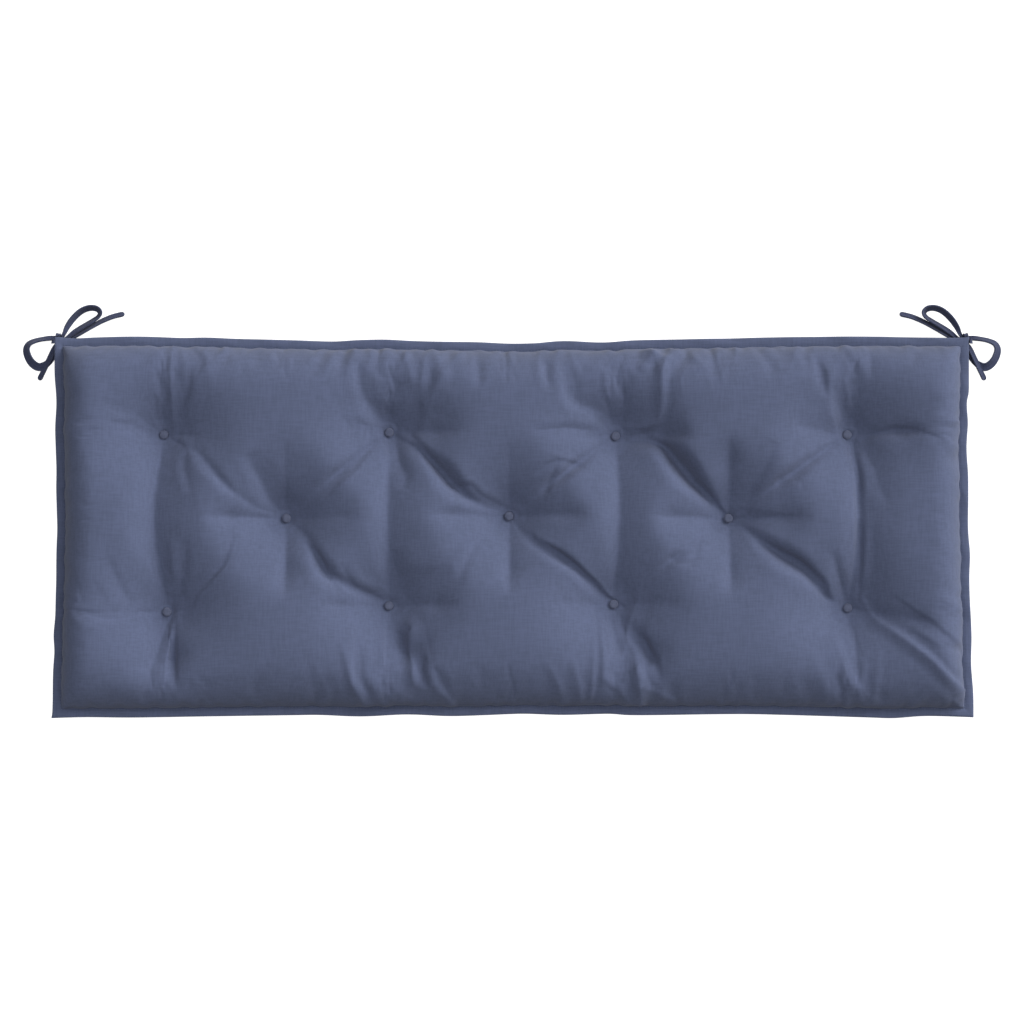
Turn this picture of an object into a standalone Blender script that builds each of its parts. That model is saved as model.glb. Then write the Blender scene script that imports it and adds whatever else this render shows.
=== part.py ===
"""Bench cushion: a filled, tufted body with a stitched flange, eleven covered buttons and two ties at each
back corner, tied in a bow.

Metres, +Z up. The cushion lies on its back, the origin is under the middle of the body on the surface that it
lies on, +X runs along the bench and +Y points to the back edge, where the ties are.
"""

import math

import bmesh
import bpy
from mathutils import Matrix, Vector

MM = 0.001

# The cover, edge to edge, and how far each side draws in at its middle where the filling pulls on it.
LENGTH = 1200 * MM
DEPTH = 500 * MM
END_DRAW_IN = 4.5 * MM
BACK_DRAW_IN = 8 * MM
FRONT_DRAW_IN = 4.5 * MM

# The flange: both panels stitched flat together outside the seam.
FLANGE_WIDTH = 12 * MM
FLANGE_THICKNESS = 3 * MM
SEAM_HEIGHT = 20 * MM

# The height that the top would reach with no tufting, which draws it down to a crown of 70 mm.
UNTUFTED_HEIGHT = 71.8 * MM

# How far in from each seam the top reaches its crown, and the back meets the surface below.
LEFT_SHOULDER = 53 * MM
RIGHT_SHOULDER = 52 * MM
REAR_SHOULDER = 86 * MM
FRONT_SHOULDER = 128 * MM
SHOULDER_ROUNDNESS = 3.4
SHOULDER_STEEPNESS = 0.8
BACK_SHOULDER = 41 * MM

# Tufting: each button pulls the top down to a small flat seat, and the back up to a dimple.
SEAT_RADIUS = 10.8 * MM
SEAT_HEIGHT = 29 * MM
TUFT_REACH = 82 * MM
BACK_DIMPLE_DEPTH = 8 * MM
BACK_DIMPLE_REACH = 16 * MM
BLEND_POWER = 7.6
LEVEL_SHARE = 0.27
LEVEL_SOFTNESS = 0.11

# Where the buttons sit, row by row from the back, each row from left to right.
BUTTON_ROWS = (
    ((-457 * MM, 121 * MM), (-161 * MM, 126 * MM), (136 * MM, 121 * MM), (440 * MM, 121 * MM)),
    ((-296 * MM, 10 * MM), (-4 * MM, 13 * MM), (284 * MM, 10 * MM)),
    ((-451 * MM, -113 * MM), (-161 * MM, -106 * MM), (133 * MM, -104 * MM), (439 * MM, -108 * MM)),
)

# Channels: the share of a tuft's depth kept half-way, how fast the cover rises on the left and on the right
# side looking along the line, in mm, and how late it comes up from its ends. The lines are in mm.
COLUMN_SHARES = (0.68, 0.56, 0.58, 0.58)
COLUMN = (70, 70, 2.2)
DIAGONAL = (0.59, 28, 28, 2.6)
ALONG_ROW = (0.60, 22, 22, 1.0)
SPOKE = (0.61, 34, 34, 1.2)
TO_SIDE = (0.57, 36, 36, 1.3)
TO_BACK = (0.50, 26, 24, 1.6)
TO_FRONT = (0.50, 60, 68, 1.6)
ROW_REACH = 116
SPOKE_REACH = 130
COLUMN_LINES = (
    ((-457, 121), (-459, 4), (-451, -113)),
    ((-161, 126), (-162, 10), (-161, -106)),
    ((136, 121), (134, 8), (133, -104)),
    ((440, 121), (450, 60), (452, 0), (439, -108)),
)
FALLING_LINES = (
    ((-457, 121), (-425, 107), (-409, 95), (-383, 61), (-349, 34), (-296, 10)),
    ((-161, 126), (-125, 97), (-106, 79), (-92, 63), (-58, 38), (-4, 13)),
    ((136, 121), (150, 119), (186, 106), (216, 78), (247, 44), (284, 10)),
    ((-296, 10), (-271, -12), (-248, -51), (-226, -66), (-184, -90), (-161, -106)),
    ((-4, 13), (31, -17), (65, -37), (95, -63), (124, -93), (133, -104)),
    ((284, 10), (299, -2), (348, -35), (390, -60), (413, -92), (439, -108)),
)
SIDE_LINES = (
    ((-457, 121), (-500, 128), (-560, 165)),
    ((440, 121), (560, 122)),
    ((-451, -113), (-577, -113)),
    ((439, -108), (500, -112), (580, -120)),
)
REAR_LINES = (
    ((-457, 121), (-450, 150), (-444, 180), (-440, 241)),
    ((-161, 126), (-179, 150), (-191, 171), (-200, 205), (-204, 241)),
    ((136, 121), (103, 149), (89, 164), (76, 183), (72, 241)),
    ((440, 121), (422, 150), (411, 180), (399, 215), (392, 241)),
)
FRONT_LINES = (
    ((-451, -113), (-447, -150), (-446, -241)),
    ((-161, -106), (-142, -135), (-132, -170), (-130, -241)),
    ((133, -104), (165, -142), (190, -180), (205, -241)),
    ((439, -108), (505, -135), (550, -180), (590, -241)),
)

# Covered buttons.
BUTTON_RADIUS = 6.5 * MM
BUTTON_HEIGHT = 5 * MM
BUTTON_STEPS = 14
CLEARANCE = 0.3 * MM

# Ties: a flat tape, drawn together to a narrower bundle inside the knot.
TAPE_THICKNESS = 2 * MM
TAPE_STEPS_PER_SPAN = 3
KNOT_X = 594 * MM
KNOT_Y = 246 * MM

# Each tie of the left bow from its seam to its free end, in mm from the knot, z from the surface below:
# x, y, z, the tape's width there, and how far it is rolled on to its edge, in degrees.
TIE_WITH_BACK_LOOP = (
    # x, y, z, width, roll
    (-6.4, -2.5, 21.5, 8.0, 0),
    (-10.5, -2.5, 20.8, 8.0, 0),
    (-13.4, -2.3, 17.0, 7.0, 0),
    (-12.2, -1.8, 11.8, 6.0, 0),
    (-7.5, -0.8, 9.0, 5.5, 0),
    (0.0, 1.6, 8.7, 5.5, 0),
    (4.6, 8.6, 8.9, 5.5, 0),
    (8.8, 18.0, 7.4, 9.0, 34),
    (15.9, 28.5, 6.2, 12.0, 52),
    (25.8, 37.9, 5.9, 12.0, 54),
    (36.5, 42.8, 5.8, 12.0, 54),
    (46.0, 42.4, 5.8, 12.0, 54),
    (51.8, 37.4, 5.8, 12.0, 54),
    (49.4, 30.6, 6.0, 12.0, 54),
    (40.8, 25.8, 6.2, 12.0, 54),
    (29.2, 18.8, 6.4, 11.0, 48),
    (18.6, 11.6, 6.4, 8.0, 30),
    (8.6, 4.0, 6.2, 5.5, 0),
    (0.0, -1.2, 6.15, 5.5, 0),
    (-7.8, -7.6, 6.4, 6.5, 8),
    (-13.9, -19.3, 6.6, 9.5, 22),
    (-19.9, -32.2, 6.6, 10.0, 18),
    (-24.8, -42.6, 5.4, 10.5, 14),
    (-29.1, -50.8, 3.2, 10.5, 10),
)
TIE_WITH_SIDE_LOOP = (
    # x, y, z, width, roll
    (-1.6, 4.4, 21.5, 8.0, 0),
    (-1.6, 8.0, 21.0, 8.0, 0),
    (-1.2, 11.0, 17.6, 7.0, 0),
    (-0.6, 9.4, 13.2, 6.0, 0),
    (0.9, 4.2, 11.2, 5.5, 0),
    (3.2, -1.4, 11.1, 5.5, 0),
    (6.2, -6.6, 9.0, 5.5, 0),
    (7.2, -8.6, 5.6, 5.5, 0),
    (5.4, -6.4, 2.0, 5.5, 0),
    (1.4, -1.4, 1.35, 5.5, 0),
    (-4.0, 4.2, 1.5, 6.0, 0),
    (-11.0, 4.6, 2.8, 8.0, 12),
    (-20.5, 2.6, 5.2, 11.0, 42),
    (-32.2, 0.5, 5.6, 12.0, 48),
    (-41.6, -3.6, 4.6, 12.0, 34),
    (-45.2, -10.6, 2.9, 12.0, 14),
    (-42.9, -19.6, 2.1, 12.0, 8),
    (-37.4, -28.4, 1.9, 12.0, 6),
    (-29.4, -33.8, 1.9, 11.5, 6),
    (-21.0, -31.2, 1.9, 10.0, 4),
    (-12.6, -24.6, 2.1, 8.5, -4),
    (-6.4, -15.6, 2.7, 7.0, -8),
    (-2.0, -6.6, 3.5, 5.5, 0),
    (3.0, -1.8, 3.65, 5.5, 0),
    (11.2, 2.2, 3.8, 7.5, -18),
    (24.2, 8.6, 4.8, 11.0, -42),
    (40.3, 18.0, 5.1, 11.5, -46),
    (53.5, 24.8, 4.9, 11.0, -42),
    (68.0, 30.6, 4.2, 11.0, -32),
    (83.4, 34.1, 3.7, 10.5, -28),
)

CLOTH = (0.100, 0.122, 0.206)
CLOTH_BUTTON = (0.092, 0.112, 0.190)
CLOTH_TIE = (0.066, 0.080, 0.138)


def clear_scene():
    """Remove the startup scene's objects."""
    for obj in list(bpy.data.objects):
        bpy.data.objects.remove(obj, do_unlink=True)


def cloth_material(name, colour):
    """Plain woven cloth: matt, not metallic."""
    material = bpy.data.materials.new(name)
    material.use_nodes = True
    shader = material.node_tree.nodes["Principled BSDF"]
    shader.inputs["Base Color"].default_value = (*colour, 1.0)
    shader.inputs["Roughness"].default_value = 0.85
    shader.inputs["Metallic"].default_value = 0.0
    return material


def add_to_part(obj, collection, material):
    """Move the object into the part's own collection and give it its material."""
    for other in list(obj.users_collection):
        other.objects.unlink(obj)
    collection.objects.link(obj)
    obj.data.materials.clear()
    obj.data.materials.append(material)


def smoothed(share):
    """0 to 1 with no slope at either end."""
    share = min(max(share, 0.0), 1.0)
    return share * share * (3 - 2 * share)


def round_shoulder(inward, shoulder, roundness, steepness):
    """0 at the seam, rising and rounding over to 1 at the shoulder and beyond."""
    share = min(max(inward / shoulder, 0.0), 1.0)
    return (1 - (1 - share) ** roundness) ** steepness


def top_fullness(x, y):
    """How full the top is over a point of the uncrowned cover: 0 at the seam, 1 well inside it."""
    end = LENGTH / 2 - FLANGE_WIDTH
    side = DEPTH / 2 - FLANGE_WIDTH
    ends = ((end + x, LEFT_SHOULDER), (end - x, RIGHT_SHOULDER))
    sides = ((side - y, REAR_SHOULDER), (side + y, FRONT_SHOULDER))
    full = 1
    for inward, shoulder in ends + sides:
        full *= round_shoulder(inward, shoulder, SHOULDER_ROUNDNESS, SHOULDER_STEEPNESS)
    return full


def back_fullness(x, y):
    """How far the back has come down to the surface below: 0 at the seam, 1 where it lies flat."""
    from_end = LENGTH / 2 - FLANGE_WIDTH - abs(x)
    from_side = DEPTH / 2 - FLANGE_WIDTH - abs(y)
    return round_shoulder(from_end, BACK_SHOULDER, 2, 0.5) * round_shoulder(from_side, BACK_SHOULDER, 2, 0.5)


def channels():
    """The channels: the line in metres, its course, and the share of a tuft's depth at the far end."""
    back, middle, front = [[(x / MM, y / MM) for x, y in row] for row in BUTTON_ROWS]
    found = [(line, (share, *COLUMN), 1) for line, share in zip(COLUMN_LINES, COLUMN_SHARES)]
    found += [(line, DIAGONAL, 1) for line in FALLING_LINES]
    for column, button in enumerate(middle):
        found += [((button, back[column + 1]), DIAGONAL, 1), ((front[column], button), DIAGONAL, 1)]
        for ahead, aside in ((0, 1), (0, -1), (1, 0), (-1, 0)):
            end = (button[0] + ahead * SPOKE_REACH, button[1] + aside * SPOKE_REACH)
            found.append(((button, end), SPOKE, 0))
    for row in (back, front):
        found += [((button, (button[0] + ROW_REACH, button[1])), ALONG_ROW, 0) for button in row[:-1]]
        found += [((button, (button[0] - ROW_REACH, button[1])), ALONG_ROW, 0) for button in row[1:]]
    for lines, course in ((SIDE_LINES, TO_SIDE), (REAR_LINES, TO_BACK), (FRONT_LINES, TO_FRONT)):
        found += [(line, course, 0) for line in lines]
    return [([(x * MM, y * MM) for x, y in line], course, end) for line, course, end in found]


def beside_line(x, y, line):
    """How far a point is from a line, its side (1 left, -1 right), and how far along it lies, 0 to 1."""
    spans = list(zip(line, line[1:]))
    total = sum(math.dist(*span) for span in spans)
    nearest, side, along, done = math.inf, 1, 0.0, 0.0
    for (x0, y0), (x1, y1) in spans:
        step_x, step_y = x1 - x0, y1 - y0
        length = math.hypot(step_x, step_y)
        share = min(max(((x - x0) * step_x + (y - y0) * step_y) / length**2, 0.0), 1.0)
        off_x, off_y = x - x0 - share * step_x, y - y0 - share * step_y
        away = math.hypot(off_x, off_y)
        if away < nearest:
            nearest = away
            side = 1 if step_x * off_y - step_y * off_x > 0 else -1
            along = (done + share * length) / total
        done += length
    return nearest, side, along


def channel_depth(x, y, channel):
    """How deep one channel is at a point, as a share of a tuft's depth."""
    line, (at_middle, left_reach, right_reach, lateness), at_end = channel
    away, side, along = beside_line(x, y, line)
    nearer_end = 1 if along < 0.5 else at_end
    floor = at_middle + (nearer_end - at_middle) * abs(2 * along - 1) ** lateness
    return floor * math.exp(-away / ((left_reach if side > 0 else right_reach) * MM))


def tuft_depth(x, y, button, reach):
    """How deep a button pulls the cover at a point, as a share of its whole depth: 1 all over its seat."""
    away = math.hypot(x - button[0], y - button[1])
    return math.exp(-max(away - SEAT_RADIUS, 0.0) / reach)


def quilted_depth(x, y, all_channels):
    """Channels and tufts together, as a share of a tuft's depth."""
    buttons = [button for row in BUTTON_ROWS for button in row]
    depths = [channel_depth(x, y, channel) for channel in all_channels]
    depths += [tuft_depth(x, y, button, TUFT_REACH) for button in buttons]
    together = sum(depth**BLEND_POWER for depth in depths) ** (1 / BLEND_POWER) - LEVEL_SHARE
    softened = (together + math.hypot(together, LEVEL_SOFTNESS)) / 2
    return min(softened / (1 - LEVEL_SHARE), 1.0)


def grid_lines(centres, half, margin):
    """Grid lines across the cover: close together at the seam and at each button, further apart between."""
    near_button = (0.0, 7.8 * MM, 19 * MM, 38 * MM)
    near_seam = (2 * MM, 9 * MM, BACK_SHOULDER / 2, BACK_SHOULDER, FRONT_SHOULDER / 2)
    inner = half - margin
    lines = {-half, half, -inner, inner}
    lines |= {way * (inner - step) for step in near_seam for way in (-1, 1)}
    lines |= {centre + way * step for centre in centres for step in near_button for way in (-1, 1)}
    lines = sorted(lines)
    spaced = [lines[0]]
    for line in lines[1:]:
        if line - spaced[-1] < 4.5 * MM and spaced[-1] not in (-half, -inner) and line not in (half, inner):
            continue
        gap = line - spaced[-1]
        pieces = max(1, round(gap / (24 * MM)))
        start = spaced[-1]
        spaced += [start + gap * piece / pieces for piece in range(1, pieces + 1)]
    return spaced


def column_centres():
    """The mean x of each column of buttons."""
    back, middle, front = BUTTON_ROWS
    outer = [(above[0] + below[0]) / 2 for above, below in zip(back, front)]
    return outer + [button[0] for button in middle]


def row_centres():
    """The mean y of each row of buttons."""
    return [sum(button[1] for button in row) / len(row) for row in BUTTON_ROWS]


def pulled_to_buttons(x, y):
    """A grid point moved so that the crossing nearest to each button lies under it."""
    columns, rows = column_centres(), row_centres()
    shift_x = shift_y = 0.0
    for row, row_y in zip(BUTTON_ROWS, rows):
        for button in row:
            column_x = min(columns, key=lambda centre: abs(centre - button[0]))
            away = math.hypot(x - column_x, y - row_y)
            weight = math.exp(-((away / (36 * MM)) ** 2))
            shift_x += weight * (button[0] - column_x)
            shift_y += weight * (button[1] - row_y)
    return x + shift_x, y + shift_y


def drawn_in(x, y):
    """A point of the flat cover after its sides have drawn in towards the filling."""
    end_share = 1 - (2 * y / DEPTH) ** 2
    side_share = 1 - (2 * x / LENGTH) ** 2
    side = BACK_DRAW_IN if y > 0 else FRONT_DRAW_IN
    return (
        x * (1 - 2 * END_DRAW_IN * end_share / LENGTH),
        y * (1 - 2 * side * side_share / DEPTH),
    )


def top_height(x, y, all_channels):
    """Height of the cover's top side over a point of the flat cover."""
    full = top_fullness(x, y)
    base = SEAM_HEIGHT + FLANGE_THICKNESS / 2
    if full == 0:
        return base
    crown = UNTUFTED_HEIGHT - quilted_depth(x, y, all_channels) * (UNTUFTED_HEIGHT - SEAT_HEIGHT)
    return base + full * (crown - base)


def back_height(x, y):
    """Height of the cover's back side: flat on the surface but for a dimple behind each button."""
    base = SEAM_HEIGHT - FLANGE_THICKNESS / 2
    buttons = [button for row in BUTTON_ROWS for button in row]
    pull = max(tuft_depth(x, y, button, BACK_DIMPLE_REACH) for button in buttons)
    dimple = BACK_DIMPLE_DEPTH * max(pull - 0.1, 0.0) / 0.9
    full = back_fullness(x, y)
    return base * (1 - full) + dimple * full


def make_cushion(collection, material):
    """The filled body with its flange: a grid of the cover, thickened, then raised to its crown."""
    x_lines = grid_lines(column_centres(), LENGTH / 2, FLANGE_WIDTH)
    y_lines = grid_lines(row_centres(), DEPTH / 2, FLANGE_WIDTH)
    bpy.ops.mesh.primitive_grid_add(x_subdivisions=len(x_lines) - 1, y_subdivisions=len(y_lines) - 1, size=1)
    cushion = bpy.context.object
    cushion.name = "cushion"

    mesh = bmesh.new()
    mesh.from_mesh(cushion.data)
    for vert in mesh.verts:
        column = round((vert.co.x + 0.5) * (len(x_lines) - 1))
        row = round((vert.co.y + 0.5) * (len(y_lines) - 1))
        vert.co = (x_lines[column], y_lines[row], 0)
    bmesh.ops.solidify(mesh, geom=mesh.faces[:], thickness=FLANGE_THICKNESS)
    bmesh.ops.recalc_face_normals(mesh, faces=mesh.faces[:])

    middle = sum(vert.co.z for vert in mesh.verts) / len(mesh.verts)
    all_channels = channels()
    for vert in mesh.verts:
        on_top = vert.co.z > middle
        x, y = pulled_to_buttons(vert.co.x, vert.co.y)
        z = top_height(x, y, all_channels) if on_top else back_height(x, y)
        vert.co = (*drawn_in(x, y), z)
    mesh.to_mesh(cushion.data)
    mesh.free()
    cushion.data.shade_smooth()
    add_to_part(cushion, collection, material)
    return cushion


def button_profile():
    """The half outline of a covered button: a domed face, a rounded rim and a flat back, top to bottom."""
    turns = (0.0, 0.35, 0.75, 1.15, math.pi / 2)
    dome = [
        (BUTTON_RADIUS * math.sin(turn), BUTTON_HEIGHT * (0.45 + 0.55 * math.cos(turn))) for turn in turns
    ]
    rim = (BUTTON_RADIUS * 0.94, BUTTON_HEIGHT * 0.16)
    back_edge = (BUTTON_RADIUS * 0.72, 0.0)
    return [*dome, rim, back_edge, (0.0, 0.0)]


def make_button(number, x, y, collection, material):
    """One covered button, turned from its half outline, standing on its seat in the cushion."""
    mesh = bmesh.new()
    points = [mesh.verts.new((radius, 0, height)) for radius, height in button_profile()]
    for upper, lower in zip(points, points[1:]):
        mesh.edges.new((upper, lower))
    data = bpy.data.meshes.new(f"button_{number:02d}")
    mesh.to_mesh(data)
    mesh.free()
    button = bpy.data.objects.new(data.name, data)
    bpy.context.scene.collection.objects.link(button)

    screw = button.modifiers.new("turned", "SCREW")
    screw.steps = screw.render_steps = BUTTON_STEPS
    screw.use_merge_vertices = True
    screw.merge_threshold = 0.0001
    screw.use_smooth_shade = True

    button.location = (*drawn_in(x, y), SEAT_HEIGHT + CLEARANCE)
    add_to_part(button, collection, material)
    return button


def catmull_rom(before, start, end, after, share):
    """One value on the smooth curve that runs through start and end."""
    return 0.5 * (
        2 * start
        + (end - before) * share
        + (2 * before - 5 * start + 4 * end - after) * share**2
        + (3 * start - before - 3 * end + after) * share**3
    )


def smooth_route(rows, steps):
    """The rows of a tie's table with smooth rows between them."""
    padded = [rows[0], *rows, rows[-1]]
    found = []
    for before, start, end, after in zip(padded, padded[1:], padded[2:], padded[3:]):
        for step in range(steps):
            share = step / steps
            found.append([catmull_rom(*values, share) for values in zip(before, start, end, after)])
    found.append(list(rows[-1]))
    return found


def tape_sides(places, rolls):
    """For each place on a tape, the direction across its width.

    The tape lies flat where it runs level, keeps its direction where it turns over, and is then rolled.
    """
    found = []
    across = None
    for index, roll in enumerate(rolls):
        ahead = places[min(index + 1, len(places) - 1)] - places[max(index - 1, 0)]
        ahead.normalize()
        level = Vector((-ahead.y, ahead.x, 0))
        if across is None:
            across = level.normalized()
        if level.dot(across) < 0:
            level.negate()
        carried = (across - across.dot(ahead) * ahead).normalized()
        trust = smoothed((level.length - 0.35) / 0.5)
        across = carried.lerp(level.normalized(), trust) if level.length > 0 else carried
        across = (across - across.dot(ahead) * ahead).normalized()
        found.append(Matrix.Rotation(math.radians(roll), 3, ahead) @ across)
    return found


def make_tie(name, rows, side, collection, material):
    """One tie: a flat ribbon along its route, thickened. The right bow (side 1) mirrors the left one (-1)."""
    route = smooth_route(rows, TAPE_STEPS_PER_SPAN)
    places = [Vector((-side * x * MM + side * KNOT_X, y * MM + KNOT_Y, z * MM)) for x, y, z, _, _ in route]
    sides = tape_sides(places, [-side * roll for *_, roll in route])
    bpy.ops.mesh.primitive_grid_add(x_subdivisions=len(route) - 1, y_subdivisions=1, size=1)
    tie = bpy.context.object
    tie.name = name
    for vert in tie.data.vertices:
        index = round((vert.co.x + 0.5) * (len(route) - 1))
        width = route[index][3] * MM
        vert.co = places[index] + sides[index] * (vert.co.y * width)
    thicken = tie.modifiers.new("tape", "SOLIDIFY")
    thicken.thickness = TAPE_THICKNESS
    thicken.offset = 0
    tie.data.shade_smooth()
    add_to_part(tie, collection, material)
    return tie


def main():
    """Build the whole cushion."""
    clear_scene()
    collection = bpy.data.collections.new("bench_cushion")
    bpy.context.scene.collection.children.link(collection)
    cover = cloth_material("cover_cloth", CLOTH)
    button_cloth = cloth_material("button_cloth", CLOTH_BUTTON)
    tape = cloth_material("tie_tape", CLOTH_TIE)

    make_cushion(collection, cover)
    places = [button for row in BUTTON_ROWS for button in row]
    for number, (x, y) in enumerate(places, start=1):
        make_button(number, x, y, collection, button_cloth)
    for side, word in ((-1, "left"), (1, "right")):
        make_tie(f"tie_{word}_back_loop", TIE_WITH_BACK_LOOP, side, collection, tape)
        make_tie(f"tie_{word}_side_loop", TIE_WITH_SIDE_LOOP, side, collection, tape)


main()
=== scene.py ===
"""Tufted bench cushion, dressed over its solid model.

The cushion lies on its back on a pale table and is seen from almost straight above. The cover is one padded piece
with a stitched flange all round, pulled down by eleven covered buttons, and a bow of two flat ties hangs from each
back corner. Lengths in the tables are in millimetres, +X to the right and +Y to the back edge.
"""

import logging
import math
from dataclasses import dataclass
from enum import Enum
from typing import Iterable, Sequence

import bpy
import numpy as np
from mathutils import Matrix, Vector

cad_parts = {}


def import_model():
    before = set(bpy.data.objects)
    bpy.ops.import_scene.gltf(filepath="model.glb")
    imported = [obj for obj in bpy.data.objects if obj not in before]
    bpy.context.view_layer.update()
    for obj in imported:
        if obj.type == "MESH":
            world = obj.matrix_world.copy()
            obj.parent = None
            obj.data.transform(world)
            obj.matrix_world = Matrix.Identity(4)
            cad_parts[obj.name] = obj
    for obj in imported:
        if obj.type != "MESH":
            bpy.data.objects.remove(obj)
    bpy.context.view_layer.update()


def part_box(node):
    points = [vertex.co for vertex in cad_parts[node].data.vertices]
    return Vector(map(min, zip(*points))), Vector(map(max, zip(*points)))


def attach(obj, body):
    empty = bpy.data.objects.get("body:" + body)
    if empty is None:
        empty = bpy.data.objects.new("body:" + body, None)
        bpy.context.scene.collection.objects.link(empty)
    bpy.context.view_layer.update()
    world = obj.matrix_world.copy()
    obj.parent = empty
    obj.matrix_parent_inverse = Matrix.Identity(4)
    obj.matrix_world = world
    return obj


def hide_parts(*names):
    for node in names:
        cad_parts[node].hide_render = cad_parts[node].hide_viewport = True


log = logging.getLogger("bench_cushion")

MM = 0.001
BODY = "root"

Point = tuple[float, float]
Array = np.ndarray


# --------------------------------------------------------------------------------------------------------------
# Small shared tools
# --------------------------------------------------------------------------------------------------------------


def linear(colour: str) -> tuple[float, float, float, float]:
    """Turn an sRGB hex colour into the linear colour that a shader takes.

    Args:
        colour: six hex digits, such as "565f78".

    Returns:
        Linear red, green, blue and an alpha of 1.
    """
    values = [int(colour[start : start + 2], 16) / 255 for start in (0, 2, 4)]
    red, green, blue = [value / 12.92 if value <= 0.04045 else ((value + 0.055) / 1.055) ** 2.4 for value in values]
    return red, green, blue, 1.0


def add_node(tree: bpy.types.NodeTree, kind: str, inputs: dict | None = None, **settings: object) -> bpy.types.Node:
    """Add one node to a tree, set it up and link it.

    Args:
        tree: the tree that the node goes in.
        kind: the node's type name.
        inputs: input name or number, to the value it holds or the output socket that feeds it.
        **settings: the node's own settings.

    Returns:
        The new node.
    """
    made = tree.nodes.new(kind)
    for name, value in settings.items():
        setattr(made, name, value)
    for name, value in (inputs or {}).items():
        if isinstance(value, bpy.types.NodeSocket):
            tree.links.new(value, made.inputs[name])
        else:
            made.inputs[name].default_value = value
    return made


def smoothstep(share: Array) -> Array:
    """0 to 1 with no slope at either end."""
    share = np.clip(share, 0.0, 1.0)
    return share * share * (3 - 2 * share)


def smooth_path(points: Sequence[Sequence[float]], steps: int) -> Array:
    """Run a smooth curve through points of any number of columns.

    Args:
        points: the points, one row each.
        steps: how many pieces each span is cut into.

    Returns:
        The points of the curve, the first and last of them unchanged.
    """
    rows = np.asarray(points, dtype=float)
    padded = np.vstack([rows[:1], rows, rows[-1:]])
    share = (np.arange(steps) / steps)[:, None]
    spans = []
    for before, start, end, after in zip(padded, padded[1:], padded[2:], padded[3:]):
        spans.append(
            0.5
            * (
                2 * start
                + (end - before) * share
                + (2 * before - 5 * start + 4 * end - after) * share**2
                + (3 * start - before - 3 * end + after) * share**3
            )
        )
    return np.vstack([*spans, rows[-1:]])


def beside_path(x: Array, y: Array, path: Array) -> tuple[Array, Array, Array]:
    """Measure points of the cover against a line drawn on it.

    Args:
        x: the points' x, in millimetres.
        y: the points' y, in millimetres.
        path: the line's points, one row each.

    Returns:
        How far each point is from the line, on which side of it (1 on its left, -1 on its right, between round its
        ends), and how far along the line its nearest place is, from 0 to 1.
    """
    nearest = np.full(x.shape, np.inf)
    side = np.zeros(x.shape)
    along = np.zeros(x.shape)
    steps = np.diff(path, axis=0)
    lengths = np.hypot(steps[:, 0], steps[:, 1])
    total, done = lengths.sum(), 0.0
    for (start_x, start_y), (step_x, step_y), length in zip(path, steps, lengths):
        share = np.clip(((x - start_x) * step_x + (y - start_y) * step_y) / length**2, 0.0, 1.0)
        off_x = x - start_x - share * step_x
        off_y = y - start_y - share * step_y
        away = np.hypot(off_x, off_y)
        closer = away < nearest
        nearest = np.where(closer, away, nearest)
        side = np.where(closer, (step_x * off_y - step_y * off_x) / (length * np.maximum(away, 1e-6)), side)
        along = np.where(closer, np.minimum((done + share * length) / total, 1.0), along)
        done += length
    return nearest, side, along


def between_sides(side: Array, left: float, right: float) -> Array:
    """A size that a line has on its left and on its right, and between the two round its ends."""
    return right + (left - right) * (side + 1) / 2


def deselect_all() -> None:
    """Leave nothing selected and nothing active."""
    for obj in bpy.context.selected_objects:
        obj.select_set(False)
    bpy.context.view_layer.objects.active = None


def make_active(obj: bpy.types.Object) -> None:
    """Select one object alone and make it the active one."""
    deselect_all()
    obj.select_set(True)
    bpy.context.view_layer.objects.active = obj


def set_material(obj: bpy.types.Object, material: bpy.types.Material) -> None:
    """Give a piece one material all over."""
    obj.data.materials.clear()
    obj.data.materials.append(material)


def read_points(mesh: bpy.types.Mesh) -> Array:
    """The points of a mesh, one row each."""
    flat = np.empty(len(mesh.vertices) * 3, dtype=np.float32)
    mesh.vertices.foreach_get("co", flat)
    return flat.reshape(-1, 3).astype(float)


def write_points(mesh: bpy.types.Mesh, points: Array) -> None:
    """Move the points of a mesh."""
    mesh.vertices.foreach_set("co", points.astype(np.float32).ravel())
    mesh.update()


def add_mesh(name: str, points: Sequence, faces: Sequence) -> bpy.types.Object:
    """Make an object from points in metres and faces, and put it in the scene.

    Args:
        name: the name of the object and of its mesh.
        points: the points.
        faces: the numbers of the points round each face.

    Returns:
        The new object.
    """
    mesh = bpy.data.meshes.new(name)
    mesh.from_pydata(points, [], faces)
    mesh.update()
    made = bpy.data.objects.new(mesh.name, mesh)
    bpy.context.scene.collection.objects.link(made)
    return made


def round_off(obj: bpy.types.Object) -> None:
    """Round a piece off with one level of subdivision, applied."""
    make_active(obj)
    rounding = obj.modifiers.new("rounding", "SUBSURF")
    rounding.levels = rounding.render_levels = 1
    bpy.ops.object.modifier_apply(modifier=rounding.name)


# --------------------------------------------------------------------------------------------------------------
# Finishes
# --------------------------------------------------------------------------------------------------------------


class Follows(Enum):
    """What a weave follows: the piece's own place, or the length of a tape."""

    PLACE = "Object"
    LENGTH = "UV"


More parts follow.
